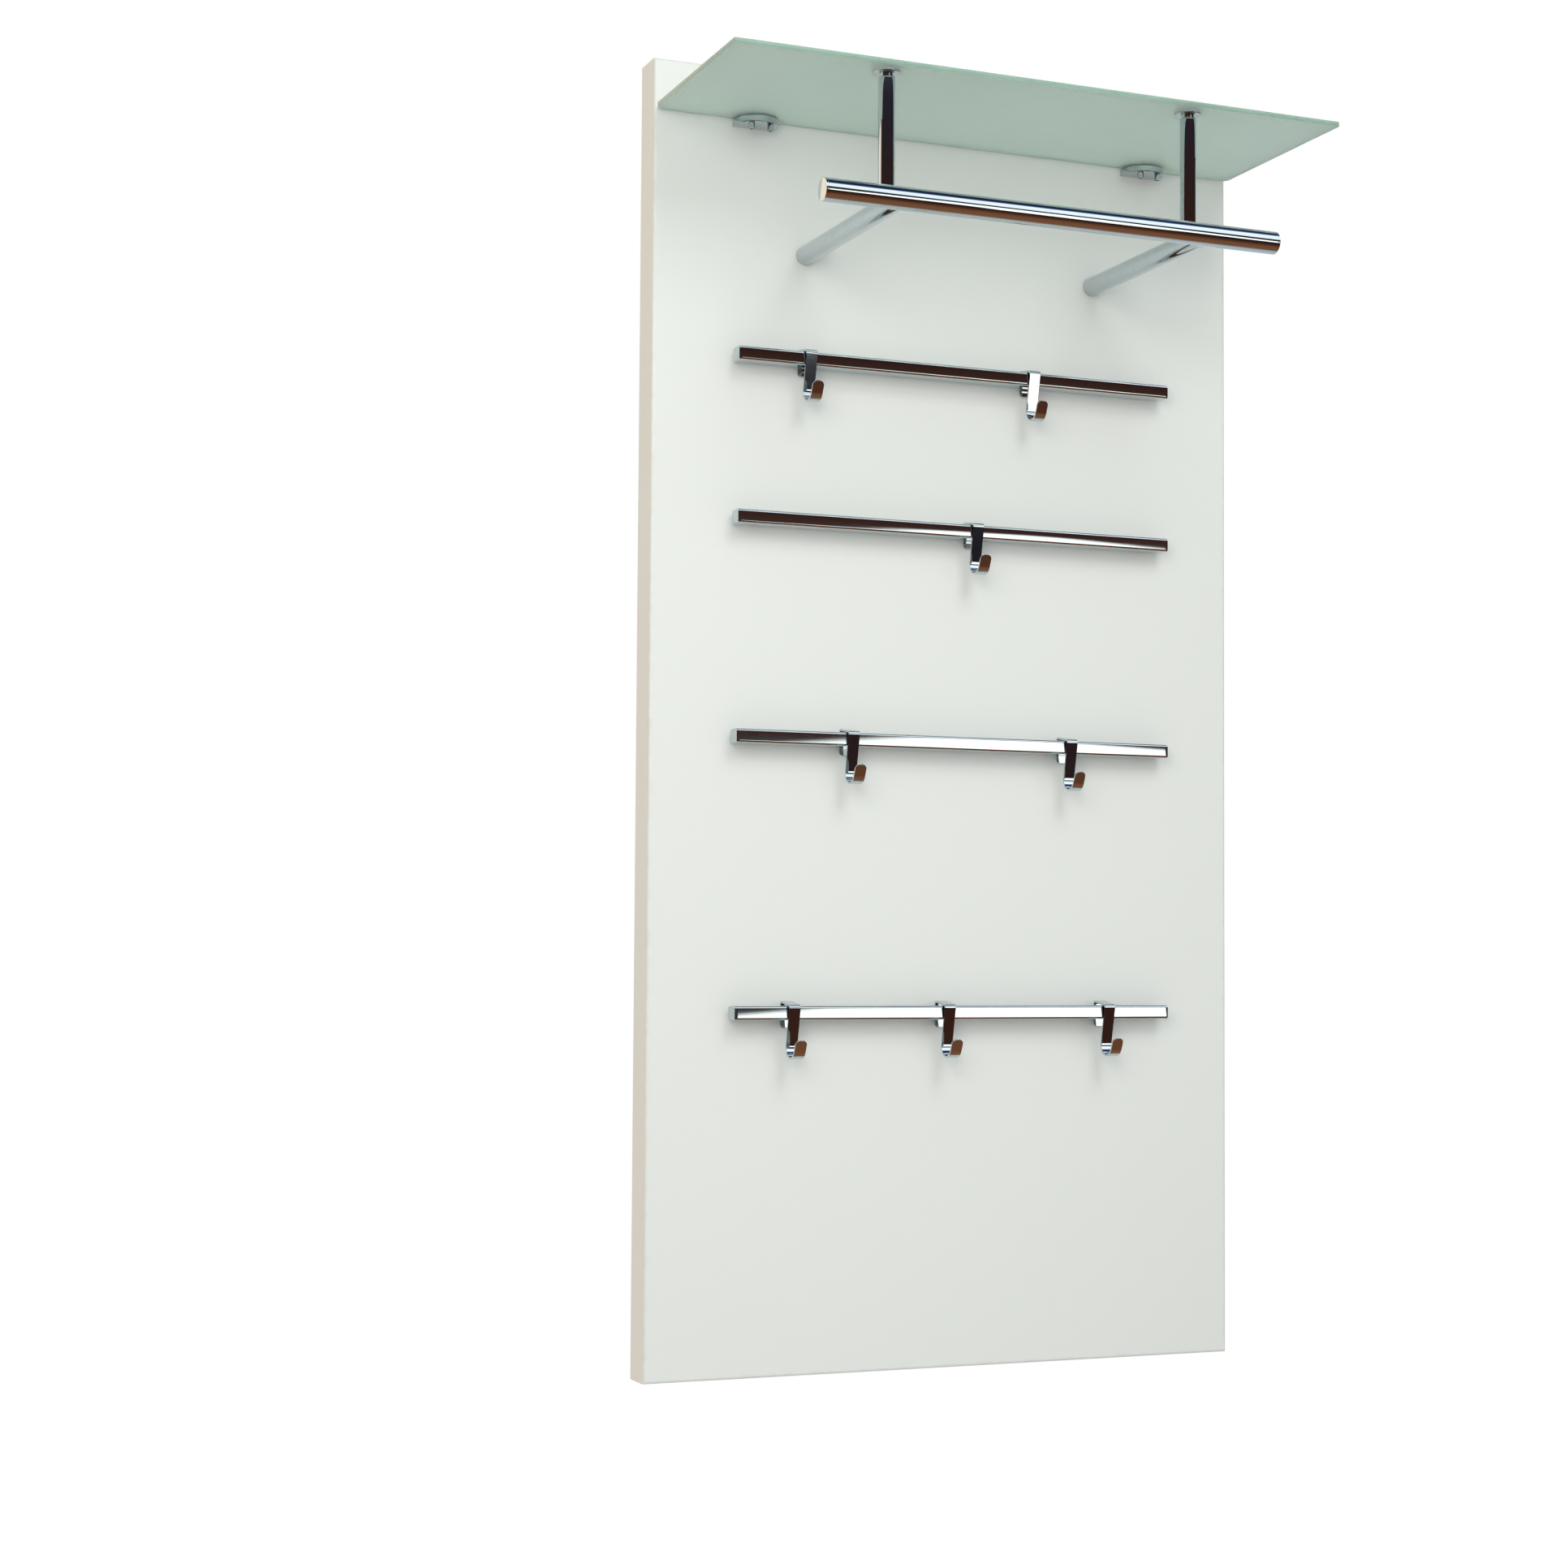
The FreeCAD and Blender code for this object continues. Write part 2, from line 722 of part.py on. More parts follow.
def make_studs():
    """Threaded studs: upright ones hold the posts, level ones hold the tube."""
    upright = []
    level = []
    for side, sign in sides.items():
        x = f"{sign} * arm_half_span"
        upright.append(
            cylinder(
                f"post_stud_{side}", (0, 0, 1), "stud_dia / 2", "2 * stud_bite",
                x, post_y, f"{bar_z} + arm_dia / 2 - stud_bite",
            )
        )
        level.append(
            cylinder(
                f"bar_stud_{side}", (0, -1, 0), "stud_dia / 2", "2 * stud_bite",
                x, f"{bar_y} + bar_dia / 2 + stud_bite", bar_z,
            )
        )
    node(group("post_studs", upright), "post_studs")
    node(group("bar_studs", level), "bar_studs")


def make_hanging_tube():
    name = "hanging_tube"
    length = "(bar_length - 2 * bar_cap_thick)"
    inner = "(bar_dia / 2 - tube_wall)"
    rightward = (1, 0, 0)
    start = f"-{length} / 2"
    outer = cylinder(f"{name}_outer", rightward, "bar_dia / 2", length, start, bar_y, bar_z)
    bore = cylinder(f"{name}_bore", rightward, inner, length, start, bar_y, bar_z)
    holes = []
    inserts = []
    for side, sign in sides.items():
        x = f"{sign} * arm_half_span"
        holes.append(
            cylinder(
                f"{name}_hole_{side}", (0, 1, 0), "stud_dia / 2 + screw_clear", "bar_dia", x, bar_y, bar_z
            )
        )
        rod = cylinder(
            f"bar_insert_{side}_rod", rightward, f"{inner} - plug_clear", "bar_insert_length",
            f"{x} - bar_insert_length / 2", bar_y, bar_z,
        )
        thread = cylinder(
            f"bar_insert_{side}_thread", (0, 1, 0), "stud_dia / 2 + plug_clear",
            "bar_dia", x, f"{bar_y} + bar_dia / 2 - stud_bite - 1", bar_z,
        )
        inserts.append(cut(f"bar_insert_{side}", rod, thread))
    node(cut(name, outer, bore, *holes), name)
    node(group("bar_inserts", inserts), "bar_inserts")

    for side, sign in sides.items():
        rim = "bar_dia / 2"
        cap = turned(
            f"bar_cap_{side}",
            [
                ("0", "-bar_cap_plug_length"),
                (f"{inner} - plug_clear", "-bar_cap_plug_length"),
                (f"{inner} - plug_clear", "0"),
                (rim, "0"),
                (rim, "bar_cap_thick - bar_cap_round"),
                (f"{rim} - bar_cap_round", "bar_cap_thick"),
                ("0", "bar_cap_thick"),
            ],
        )
        cap.Placement.Rotation = Rotation(Vector(0, 0, 1), Vector(sign, 0, 0))
        place(cap, f"{sign} * {length} / 2", bar_y, bar_z)


# ---- rails ----
def rail_section(sketch, depth, height):
    rectangle(sketch, f"-({depth}) / 2", f"-({height}) / 2", f"({depth}) / 2", f"({height}) / 2")


def make_rail(number, drop):
    body = new_body(f"rail_{number}")
    section = sketch_on(body, "YZ_Plane", f"rail_{number}_section")
    rail_section(section, "rail_depth", "rail_height")
    rail_section(section, "rail_depth - 2 * rail_wall", "rail_height - 2 * rail_wall")
    pad(body, section, "rail_length - 2 * rail_cap_thick", symmetric=True)

    def outer_corner(edge):
        near_top = max(abs(box_of(edge).ZMin), abs(box_of(edge).ZMax)) > size("rail_height") / 2 - 0.1
        return runs_along(edge, "x") and near_top

    round_edges(body, f"rail_{number}_round", "rail_round", outer_corner)
    holes = sketch_on(body, "XZ_Plane", f"rail_{number}_insert_holes")
    for sign in sides.values():
        circle(holes, "insert_dia + 2 * plug_clear", f"{sign} * {rail_screw_span}", "0")
    pocket(body, holes)
    place(body, 0, f"{rail_back} - rail_depth / 2", rail_middle(drop))


def make_rail_cap(number, drop, side, sign):
    label = f"rail_cap_{number}_{side}"
    body = new_body(label)
    face = sketch_on(body, "YZ_Plane", f"{label}_face")
    rail_section(face, "rail_depth", "rail_height")
    pad(body, face, "rail_cap_thick")
    round_edges(body, f"{label}_round", "rail_round", lambda edge: runs_along(edge, "x"))

    def outer_rim(edge):
        return box_of(edge).XMin > size("rail_cap_thick") - 1e-6

    round_edges(body, f"{label}_rim", "rail_cap_round", outer_rim)
    plug = sketch_on(body, "YZ_Plane", f"{label}_plug")
    inside = "2 * (rail_wall + plug_clear)"
    rail_section(plug, f"rail_depth - {inside}", f"rail_height - {inside}")
    pad(body, plug, "rail_cap_plug_length", reverse=True)
    body.Placement.Rotation = Rotation(Vector(1, 0, 0), Vector(sign, 0, 0))
    place(
        body, f"{sign} * (rail_length / 2 - rail_cap_thick)",
        f"{rail_back} - rail_depth / 2", rail_middle(drop),
    )


def make_rail_fixings():
    spacers = []
    screws = []
    inserts = []
    for number, (drop, _) in rails.items():
        for side, sign in sides.items():
            tail = f"{number}_{side}"
            x = f"{sign} * {rail_screw_span}"
            z = rail_middle(drop)
            outward = (0, -1, 0)
            ring = cylinder(f"spacer_{tail}_ring", outward, "spacer_dia / 2", "rail_gap", x, front, z)
            hole = cylinder(
                f"spacer_{tail}_hole", outward, "rail_screw_dia / 2 + screw_clear", "rail_gap", x, front, z
            )
            spacers.append(cut(f"spacer_{tail}", ring, hole))
            rod = cylinder(f"insert_{tail}_rod", outward, "insert_dia / 2", "insert_length", x, rail_back, z)
            thread = cylinder(
                f"insert_{tail}_thread", outward, "rail_screw_dia / 2 + plug_clear",
                "insert_length", x, rail_back, z,
            )
            inserts.append(cut(f"insert_{tail}", rod, thread))
            screws.append(
                screw_from_back(
                    f"rail_screw_{tail}", "rail_screw_dia", "small_head_dia", "small_head_height",
                    "small_sink_depth",
                    "panel_thick - small_sink_depth + rail_gap + insert_length - 1", x, z,
                )
            )
    node(group("rail_spacers", spacers), "rail_spacers")
    node(group("rail_screws", screws), "rail_screws")
    node(group("rail_inserts", inserts), "rail_inserts")


# ---- hooks ----
def direction(angle):
    return Vector(math.cos(math.radians(angle)), math.sin(math.radians(angle)), 0)


def meet(point, way, other, other_way):
    """Where two lines in the sketch plane cross."""
    across = way.x * other_way.y - way.y * other_way.x
    step = other - point
    return point + way * ((step.x * other_way.y - step.y * other_way.x) / across)


def rounded_corner(corner, way_in, way_out, radius):
    """Tangent points and arc of a bend at the corner of two straight runs."""
    turn = way_in.getAngle(way_out)
    back = radius * math.tan(turn / 2)
    start = corner - way_in * back
    end = corner + way_out * back
    bisector = (way_out - way_in).normalize()
    centre = corner + bisector * (radius / math.cos(turn / 2))
    middle = centre - bisector * radius
    return start, end, Part.Arc(start, middle, end)


def hook_path(sketch):
    """The middle line of the strip, from the foot of the rear tab to the tip.

    Sketch x is Y from the rail's back face and sketch y is Z from the rail's top.
    """
    half = size("strip_thick") / 2
    corner_reach = size("rail_round") + size("grip_clear") + half
    round_y = -size("rail_depth") + size("rail_round")
    upper_round = Vector(round_y, -size("rail_round"), 0)
    lower_round = Vector(round_y, size("rail_round") - size("rail_height"), 0)

    tab_up = direction(90)
    forward = direction(180 + size("bridge_slope"))
    down = direction(-90 + size("leg_lean"))
    tip_up = direction(90 + size("tip_flare"))
    outside_bridge = direction(90 + size("bridge_slope"))
    outside_leg = direction(180 + size("leg_lean"))

    tab_foot = Vector(size("tab_clear") + half, -size("tab_drop"), 0)
    on_bridge = upper_round + outside_bridge * corner_reach
    on_leg = lower_round + outside_leg * corner_reach
    rear_corner = meet(tab_foot, tab_up, on_bridge, forward)
    front_corner = meet(on_bridge, forward, on_leg, down)
    tab_top, bridge_start, rear_bend = rounded_corner(
        rear_corner, tab_up, forward, size("rear_bend_radius")
    )
    bridge_end, leg_top, front_bend = rounded_corner(
        front_corner, forward, down, size("front_bend_radius")
    )

    # the curl touches the leg and reaches down to the hook's lowest point
    radius = size("curl_radius")
    centre_z = -size("hook_drop") + half + radius
    beside_leg = on_leg + outside_leg * radius
    centre = meet(beside_leg, down, Vector(0, centre_z, 0), Vector(1, 0, 0))
    leg_end = centre - outside_leg * radius
    tip_start = centre + direction(180 + size("tip_flare")) * radius
    curl = Part.Arc(tip_start, centre - Vector(0, radius, 0), leg_end)  # drawn anticlockwise
    tip_end = tip_start + tip_up * size("tip_length")

    runs = [
        Part.LineSegment(tab_foot, tab_top),
        rear_bend,
        Part.LineSegment(bridge_start, bridge_end),
        front_bend,
        Part.LineSegment(leg_top, leg_end),
        curl,
        Part.LineSegment(tip_start, tip_end),
    ]
    sketch.addGeometry(runs, False)
    for k in range(len(runs) - 1):
        tie_ends(sketch, k)
    tab, rear, bridge, front_turn, leg, curl_turn, tip = range(len(runs))

    # construction points at the centres of the rail's rounded front edges
    for point in (upper_round, lower_round):
        sketch.addGeometry(Part.Point(point), True)
    upper, lower = len(runs), len(runs) + 1

    def fix_point(geometry, end, point, x_rule, y_rule):
        constrain(sketch, x_rule, "DistanceX", -1, 1, geometry, end, now=point.x)
        constrain(sketch, y_rule, "DistanceY", -1, 1, geometry, end, now=point.y)

    fix_point(upper, 1, upper_round, "rail_round - rail_depth", "-rail_round")
    fix_point(lower, 1, lower_round, "rail_round - rail_depth", "rail_round - rail_height")
    fix_point(tab, 1, tab_foot, "tab_clear + strip_thick / 2", "-tab_drop")
    sketch.addConstraint(Sketcher.Constraint("Vertical", tab))
    for run, point in ((bridge, upper), (leg, lower)):
        reach = "rail_round + grip_clear + strip_thick / 2"
        constrain(sketch, reach, "Distance", point, 1, run, now=corner_reach)
    for bend, alias in ((rear, "rear_bend_radius"), (front_turn, "front_bend_radius")):
        constrain(sketch, alias, "Radius", bend, now=size(alias))
    constrain(sketch, "curl_radius", "Radius", curl_turn, now=radius)
    curl_rule = "-hook_drop + strip_thick / 2 + curl_radius"
    constrain(sketch, curl_rule, "DistanceY", -1, 1, curl_turn, 3, now=centre_z)
    constrain(sketch, "tip_length", "Distance", tip, now=size("tip_length"))
    for run, way, angle in (
        (bridge, forward, "180 + bridge_slope"),
        (leg, down, "leg_lean - 90"),
        (tip, tip_up, "90 + tip_flare"),
    ):
        heading = math.atan2(way.y, way.x)
        index = sketch.addConstraint(Sketcher.Constraint("Angle", run, heading))
        sketch.setExpression(f"Constraints[{index}]", f"({rule(angle)}) * 1 deg")


def tie_ends(sketch, first):
    """Make a run and the next one share an end and a direction there."""
    ends = {}
    for index in (first, first + 1):
        shape = sketch.Geometry[index]
        ends[index] = {1: shape.StartPoint, 2: shape.EndPoint}
    pairs = [(a, b) for a in (1, 2) for b in (1, 2)]
    a, b = min(pairs, key=lambda pair: ends[first][pair[0]].distanceToPoint(ends[first + 1][pair[1]]))
    sketch.addConstraint(Sketcher.Constraint("Tangent", first, a, first + 1, b))


def make_hook(number, letter, drop):
    label = f"hook_{number}{letter}"
    body = new_body(label)
    path = sketch_on(body, "YZ_Plane", f"{label}_path")
    hook_path(path)
    section = sketch_on(body, "XY_Plane", f"{label}_section")
    section.AttachmentOffset.Base = Vector(0, 0, 0)
    section.setExpression("AttachmentOffset.Base.z", rule("-tab_drop"))
    back = "tab_clear"
    rectangle(section, "-strip_width / 2", back, "strip_width / 2", f"{back} + strip_thick")
    strip = body.newObject("PartDesign::AdditivePipe", f"{label}_strip")
    strip.Profile = section
    strip.Spine = (path, [f"Edge{k}" for k in range(1, 8)])

    doc.recompute()
    foot = -size("tab_drop")
    farthest_out = strip.Shape.BoundBox.YMin

    def tab_corner(edge):
        return runs_along(edge, "y") and box_of(edge).ZMax < foot + 1e-6

    def tip_corner(edge):
        across_strip = edge.Length < 1.1 * size("strip_thick") and box_of(edge).XLength < 1e-6
        return across_strip and box_of(edge).YMin < farthest_out + 1e-6

    round_edges(body, f"{label}_tab_round", "tab_round", tab_corner)
    round_edges(body, f"{label}_tip_round", "tip_round", tip_corner)
    place(body, f"hook_{number}{letter}_place", rail_back, f"hang_drop - {drop}")


def export_all():
    doc.recompute()
    for thing in doc.Objects:
        if "Invalid" in thing.State or "Error" in thing.State:
            raise RuntimeError(f"{thing.Label} failed: {thing.State}")
    os.makedirs("parts", exist_ok=True)
    for thing in nodes:
        shape = thing.Shape
        if shape.isNull() or not shape.isValid() or not shape.Solids:
            raise RuntimeError(f"{thing.Label} has no valid solid")
        shape.exportStep(f"parts/{thing.Label}.step")
    print(f"{len(nodes)} nodes, {sum(len(thing.Shape.Solids) for thing in nodes)} solids")


make_panel()
make_hanging_plates()
make_shelf()
for side, sign in sides.items():
    make_clamp(side, sign)
    make_arm(side, sign)
    make_post(side, sign)
make_clamp_bolts()
make_arm_bolts()
make_studs()
make_hanging_tube()
for number, (drop, hooks) in rails.items():
    make_rail(number, drop)
    for side, sign in sides.items():
        make_rail_cap(number, drop, side, sign)
    for letter in hooks:
        make_hook(number, letter, drop)
make_rail_fixings()
export_all()
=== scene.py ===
from math import radians, pi

import bmesh
import bpy
from mathutils import Matrix, Vector


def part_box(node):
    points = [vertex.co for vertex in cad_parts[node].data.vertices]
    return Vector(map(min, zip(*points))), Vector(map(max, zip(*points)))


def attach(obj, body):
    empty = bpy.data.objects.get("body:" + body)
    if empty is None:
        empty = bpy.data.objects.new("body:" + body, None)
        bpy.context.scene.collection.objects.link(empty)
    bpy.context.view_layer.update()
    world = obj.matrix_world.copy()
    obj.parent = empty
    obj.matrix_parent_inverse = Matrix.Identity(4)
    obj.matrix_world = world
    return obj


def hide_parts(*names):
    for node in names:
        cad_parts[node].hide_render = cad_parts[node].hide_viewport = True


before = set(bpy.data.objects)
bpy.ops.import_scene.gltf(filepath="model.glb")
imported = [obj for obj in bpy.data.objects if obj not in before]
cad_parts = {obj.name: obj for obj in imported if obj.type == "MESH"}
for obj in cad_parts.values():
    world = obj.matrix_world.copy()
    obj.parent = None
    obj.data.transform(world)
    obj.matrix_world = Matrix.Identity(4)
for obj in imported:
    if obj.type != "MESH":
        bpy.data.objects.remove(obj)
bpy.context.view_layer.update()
print("frame loaded:", len(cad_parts), "CAD nodes")


# camera

cameraView = {
    "place": (-1.2062, -2.5499, -0.7777),
    "yaw": 22.098,  # degrees to the right of straight at the board
    "pitch": 2.748,
    "roll": 0.378,
    "lens": 62.72,
    "shiftUp": 0.0207,
}

camData = bpy.data.cameras.new("camera")
camData.lens = cameraView["lens"]
camData.shift_y = cameraView["shiftUp"]
camData.clip_start = 0.05
camData.clip_end = 60
camera = bpy.data.objects.new("camera", camData)
bpy.context.collection.objects.link(camera)
turned = Matrix.Rotation(-radians(cameraView["yaw"]), 4, "Z")
tilted = Matrix.Rotation(pi / 2 + radians(cameraView["pitch"]), 4, "X")
rolled = Matrix.Rotation(radians(cameraView["roll"]), 4, "Z")
camera.matrix_world = Matrix.Translation(cameraView["place"]) @ turned @ tilted @ rolled
bpy.context.scene.camera = camera
bpy.context.scene.view_settings.view_transform = "Standard"


# node helpers and the shared effects

def addNode(tree, kind, **settings):
    node = tree.nodes.new(kind)
    for key, value in settings.items():
        setattr(node, key, value)
    return node


def put(tree, value, socket):
    # a socket is linked, anything else is set on the input
    if isinstance(value, bpy.types.NodeSocket):
        tree.links.new(value, socket)
    else:
        socket.default_value = value


def calc(tree, operation, *values, clamp=False):
    node = addNode(tree, "ShaderNodeMath", operation=operation, use_clamp=clamp)
    for value, socket in zip(values, node.inputs):
        put(tree, value, socket)
    return node.outputs[0]


def remap(tree, value, fromLow, fromHigh, toLow=0.0, toHigh=1.0, smooth=False):
    node = addNode(tree, "ShaderNodeMapRange", interpolation_type="SMOOTHSTEP" if smooth else "LINEAR")
    for value, socket in zip((value, fromLow, fromHigh, toLow, toHigh), node.inputs):
        put(tree, value, socket)
    return node.outputs[0]


def noise(tree, vector, scale, detail=3.0, roughness=0.5):
    node = addNode(tree, "ShaderNodeTexNoise")
    put(tree, vector, node.inputs["Vector"])
    put(tree, scale, node.inputs["Scale"])
    node.inputs["Detail"].default_value = detail
    node.inputs["Roughness"].default_value = roughness
    return node.outputs["Fac"]


def blendColour(tree, mask, first, second):
    # inputs 6 and 7 and output 2 are the node's colour sockets
    node = addNode(tree, "ShaderNodeMix", data_type="RGBA")
    put(tree, mask, node.inputs[0])
    put(tree, first, node.inputs[6])
    put(tree, second, node.inputs[7])
    return node.outputs[2]


def newGroup(name, inputs, outputs):
    tree = bpy.data.node_groups.new(name, "ShaderNodeTree")
    for label, kind, value in inputs:
        socket = tree.interface.new_socket(label, in_out="INPUT", socket_type=kind)
        if value is not None:
            socket.default_value = value
    for label, kind in outputs:
        tree.interface.new_socket(label, in_out="OUTPUT", socket_type=kind)
    return tree, tree.nodes.new("NodeGroupInput"), tree.nodes.new("NodeGroupOutput")


def handlingMarks():
    # cloudy patches and fine streaks left by wiping: a roughness between Low and High
    tree, given, out = newGroup("handlingMarks",
        [("Vector", "NodeSocketVector", None), ("Scale", "NodeSocketFloat", 12.0),
         ("Low", "NodeSocketFloat", 0.04), ("High", "NodeSocketFloat", 0.1)],
        [("Roughness", "NodeSocketFloat"), ("Mask", "NodeSocketFloat")])
    stretch = addNode(tree, "ShaderNodeMapping")
    stretch.inputs["Scale"].default_value = (1.0, 1.0, 6.0)
    tree.links.new(given.outputs["Vector"], stretch.inputs["Vector"])
    cloud = noise(tree, given.outputs["Vector"], given.outputs["Scale"], 4.0)
    streak = noise(tree, stretch.outputs[0], calc(tree, "MULTIPLY", given.outputs["Scale"], 9.0), 2.0)
    mask = remap(tree, calc(tree, "ADD", cloud, calc(tree, "MULTIPLY", streak, 0.35)), 0.5, 0.95, smooth=True)
    tree.links.new(mask, out.inputs["Mask"])
    tree.links.new(remap(tree, mask, 0.0, 1.0, given.outputs["Low"], given.outputs["High"]), out.inputs["Roughness"])
    return tree


def fineTexture():
    # a very low relief, as in lacquer, plating or etched glass
    tree, given, out = newGroup("fineTexture",
        [("Vector", "NodeSocketVector", None), ("Scale", "NodeSocketFloat", 400.0),
         ("Height", "NodeSocketFloat", 0.00002), ("Strength", "NodeSocketFloat", 0.5)],
        [("Normal", "NodeSocketVector")])
    fine = noise(tree, given.outputs["Vector"], given.outputs["Scale"], 3.0, 0.6)
    broad = noise(tree, given.outputs["Vector"], calc(tree, "MULTIPLY", given.outputs["Scale"], 0.12), 2.0)
    height = calc(tree, "ADD", fine, calc(tree, "MULTIPLY", broad, 0.8))
    bump = addNode(tree, "ShaderNodeBump")
    tree.links.new(height, bump.inputs["Height"])
    tree.links.new(given.outputs["Height"], bump.inputs["Distance"])
    tree.links.new(given.outputs["Strength"], bump.inputs["Strength"])
    tree.links.new(bump.outputs[0], out.inputs["Normal"])
    return tree


def edgeWear():
    # rubbed edges: where the surface is convex, broken up by noise
    tree, given, out = newGroup("edgeWear",
        [("Vector", "NodeSocketVector", None), ("Amount", "NodeSocketFloat", 0.5),
         ("Scale", "NodeSocketFloat", 90.0)],
        [("Mask", "NodeSocketFloat")])
    geometry = addNode(tree, "ShaderNodeNewGeometry")
    rim = remap(tree, geometry.outputs["Pointiness"], 0.53, 0.62, smooth=True)
    grain = noise(tree, given.outputs["Vector"], given.outputs["Scale"], 5.0, 0.65)
    broken = remap(tree, grain, 0.4, 0.62, smooth=True)
    mask = calc(tree, "MULTIPLY", calc(tree, "MULTIPLY", rim, broken), given.outputs["Amount"])
    tree.links.new(mask, out.inputs["Mask"])
    return tree


def cornerWear():
    # rubbed edges of a box-shaped piece: near two of its faces at once, broken up by noise
    tree, given, out = newGroup("cornerWear",
        [("Vector", "NodeSocketVector", None), ("Middle", "NodeSocketVector", None),
         ("Half", "NodeSocketVector", None), ("Width", "NodeSocketFloat", 0.004),
         ("Amount", "NodeSocketFloat", 0.4), ("Scale", "NodeSocketFloat", 60.0)],
        [("Mask", "NodeSocketFloat")])
    away = addNode(tree, "ShaderNodeVectorMath", operation="SUBTRACT")
    tree.links.new(given.outputs["Vector"], away.inputs[0])
    tree.links.new(given.outputs["Middle"], away.inputs[1])
    parts = addNode(tree, "ShaderNodeSeparateXYZ")
    halves = addNode(tree, "ShaderNodeSeparateXYZ")
    tree.links.new(away.outputs[0], parts.inputs[0])
    tree.links.new(given.outputs["Half"], halves.inputs[0])
    near = []
    for value, half in zip(parts.outputs, halves.outputs):
        inside = calc(tree, "SUBTRACT", half, calc(tree, "ABSOLUTE", value))
        depth = calc(tree, "DIVIDE", inside, given.outputs["Width"])
        near.append(calc(tree, "SUBTRACT", 1.0, depth, clamp=True))
    pairs = [calc(tree, "MULTIPLY", near[first], near[second]) for first, second in ((0, 1), (0, 2), (1, 2))]
    rim = calc(tree, "MAXIMUM", pairs[0], calc(tree, "MAXIMUM", pairs[1], pairs[2]))
    grain = noise(tree, given.outputs["Vector"], given.outputs["Scale"], 5.0, 0.65)
    broken = remap(tree, grain, 0.42, 0.66, smooth=True)
    mask = calc(tree, "MULTIPLY", calc(tree, "MULTIPLY", rim, broken), given.outputs["Amount"])
    tree.links.new(mask, out.inputs["Mask"])
    return tree


def restingDust():
    # pale dust on faces that look up
    tree, given, out = newGroup("restingDust",
        [("Vector", "NodeSocketVector", None), ("Amount", "NodeSocketFloat", 0.3)], [("Mask", "NodeSocketFloat")])
    geometry = addNode(tree, "ShaderNodeNewGeometry")
    parts = addNode(tree, "ShaderNodeSeparateXYZ")
    tree.links.new(geometry.outputs["Normal"], parts.inputs[0])
    facing = remap(tree, parts.outputs[2], 0.6, 1.0, smooth=True)
    specks = remap(tree, noise(tree, given.outputs["Vector"], 60.0, 6.0, 0.7), 0.42, 0.75)
    mask = calc(tree, "MULTIPLY", calc(tree, "MULTIPLY", facing, specks), given.outputs["Amount"])
    tree.links.new(mask, out.inputs["Mask"])
    return tree


effects = {
    "marks": handlingMarks(),
    "texture": fineTexture(),
    "wear": edgeWear(),
    "corners": cornerWear(),
    "dust": restingDust(),
}


def startMaterial(name, **plain):
    material = bpy.data.materials.new(name)
    material.use_nodes = True
    tree = material.node_tree
    shader = tree.nodes["Principled BSDF"]
    for label, value in plain.items():
        shader.inputs[label.replace("_", " ")].default_value = value
    coords = addNode(tree, "ShaderNodeTexCoord").outputs["Object"]
    return material, tree, shader, coords


def boxOf(node):
    # middle and half size of a CAD node, for the corner wear
    low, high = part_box(node)
    return (low + high) / 2, (high - low) / 2


def place(tree, effect, coords, **values):
    node = addNode(tree, "ShaderNodeGroup", node_tree=effects[effect])
    tree.links.new(coords, node.inputs["Vector"])
    for label, value in values.items():
        node.inputs[label].default_value = value
    return node


# finishes

boardLook = {
    "colour": (0.77, 0.80, 0.785, 1), "aged": (0.755, 0.782, 0.76, 1), "edge": (0.70, 0.69, 0.64, 1),
    "dust": (0.68, 0.66, 0.62, 1), "gloss": (0.31, 0.34),
}
glassLook = {
    "face": (0.76, 0.88, 0.815, 1), "cloud": (0.77, 0.885, 0.825, 1), "edge": (0.30, 0.46, 0.38, 1),
    "edgeCloud": (0.36, 0.52, 0.44, 1), "dust": (0.72, 0.74, 0.71, 1),
}
chromeLook = {"colour": (0.565, 0.635, 0.66, 1), "smudged": (0.54, 0.60, 0.62, 1), "worn": (0.48, 0.51, 0.51, 1)}
steelLook = {"bright": (0.60, 0.61, 0.60, 1), "dull": (0.40, 0.41, 0.42, 1), "worn": (0.75, 0.74, 0.70, 1)}
padLook = {"clear": (0.78, 0.80, 0.79, 1), "cloudy": (0.66, 0.68, 0.67, 1)}


def dress(tree, shader, colour, marks, texture=None):
    tree.links.new(colour, shader.inputs["Base Color"])
    tree.links.new(marks.outputs["Roughness"], shader.inputs["Roughness"])
    if texture is not None:
        tree.links.new(texture.outputs["Normal"], shader.inputs["Normal"])


def satinBoard():
    material, tree, shader, coords = startMaterial(
        "satinBoard", Specular_IOR_Level=0.42, Coat_Weight=0.15, Coat_Roughness=0.22)
    marks = place(tree, "marks", coords, Scale=3.0, Low=boardLook["gloss"][0], High=boardLook["gloss"][1])
    middle, half = boxOf("panel")
    wear = place(tree, "corners", coords, Middle=middle, Half=half, Width=0.006, Amount=0.6)
    dust = place(tree, "dust", coords, Amount=0.35)
    texture = place(tree, "texture", coords, Scale=900.0, Height=0.00004, Strength=0.25)
    cloud = remap(tree, noise(tree, coords, 2.2, 3.0), 0.35, 0.7, 0.0, 0.3)
    colour = blendColour(tree, cloud, boardLook["colour"], boardLook["aged"])
    colour = blendColour(tree, wear.outputs["Mask"], colour, boardLook["edge"])
    colour = blendColour(tree, dust.outputs["Mask"], colour, boardLook["dust"])
    dress(tree, shader, colour, marks, texture)
    return material


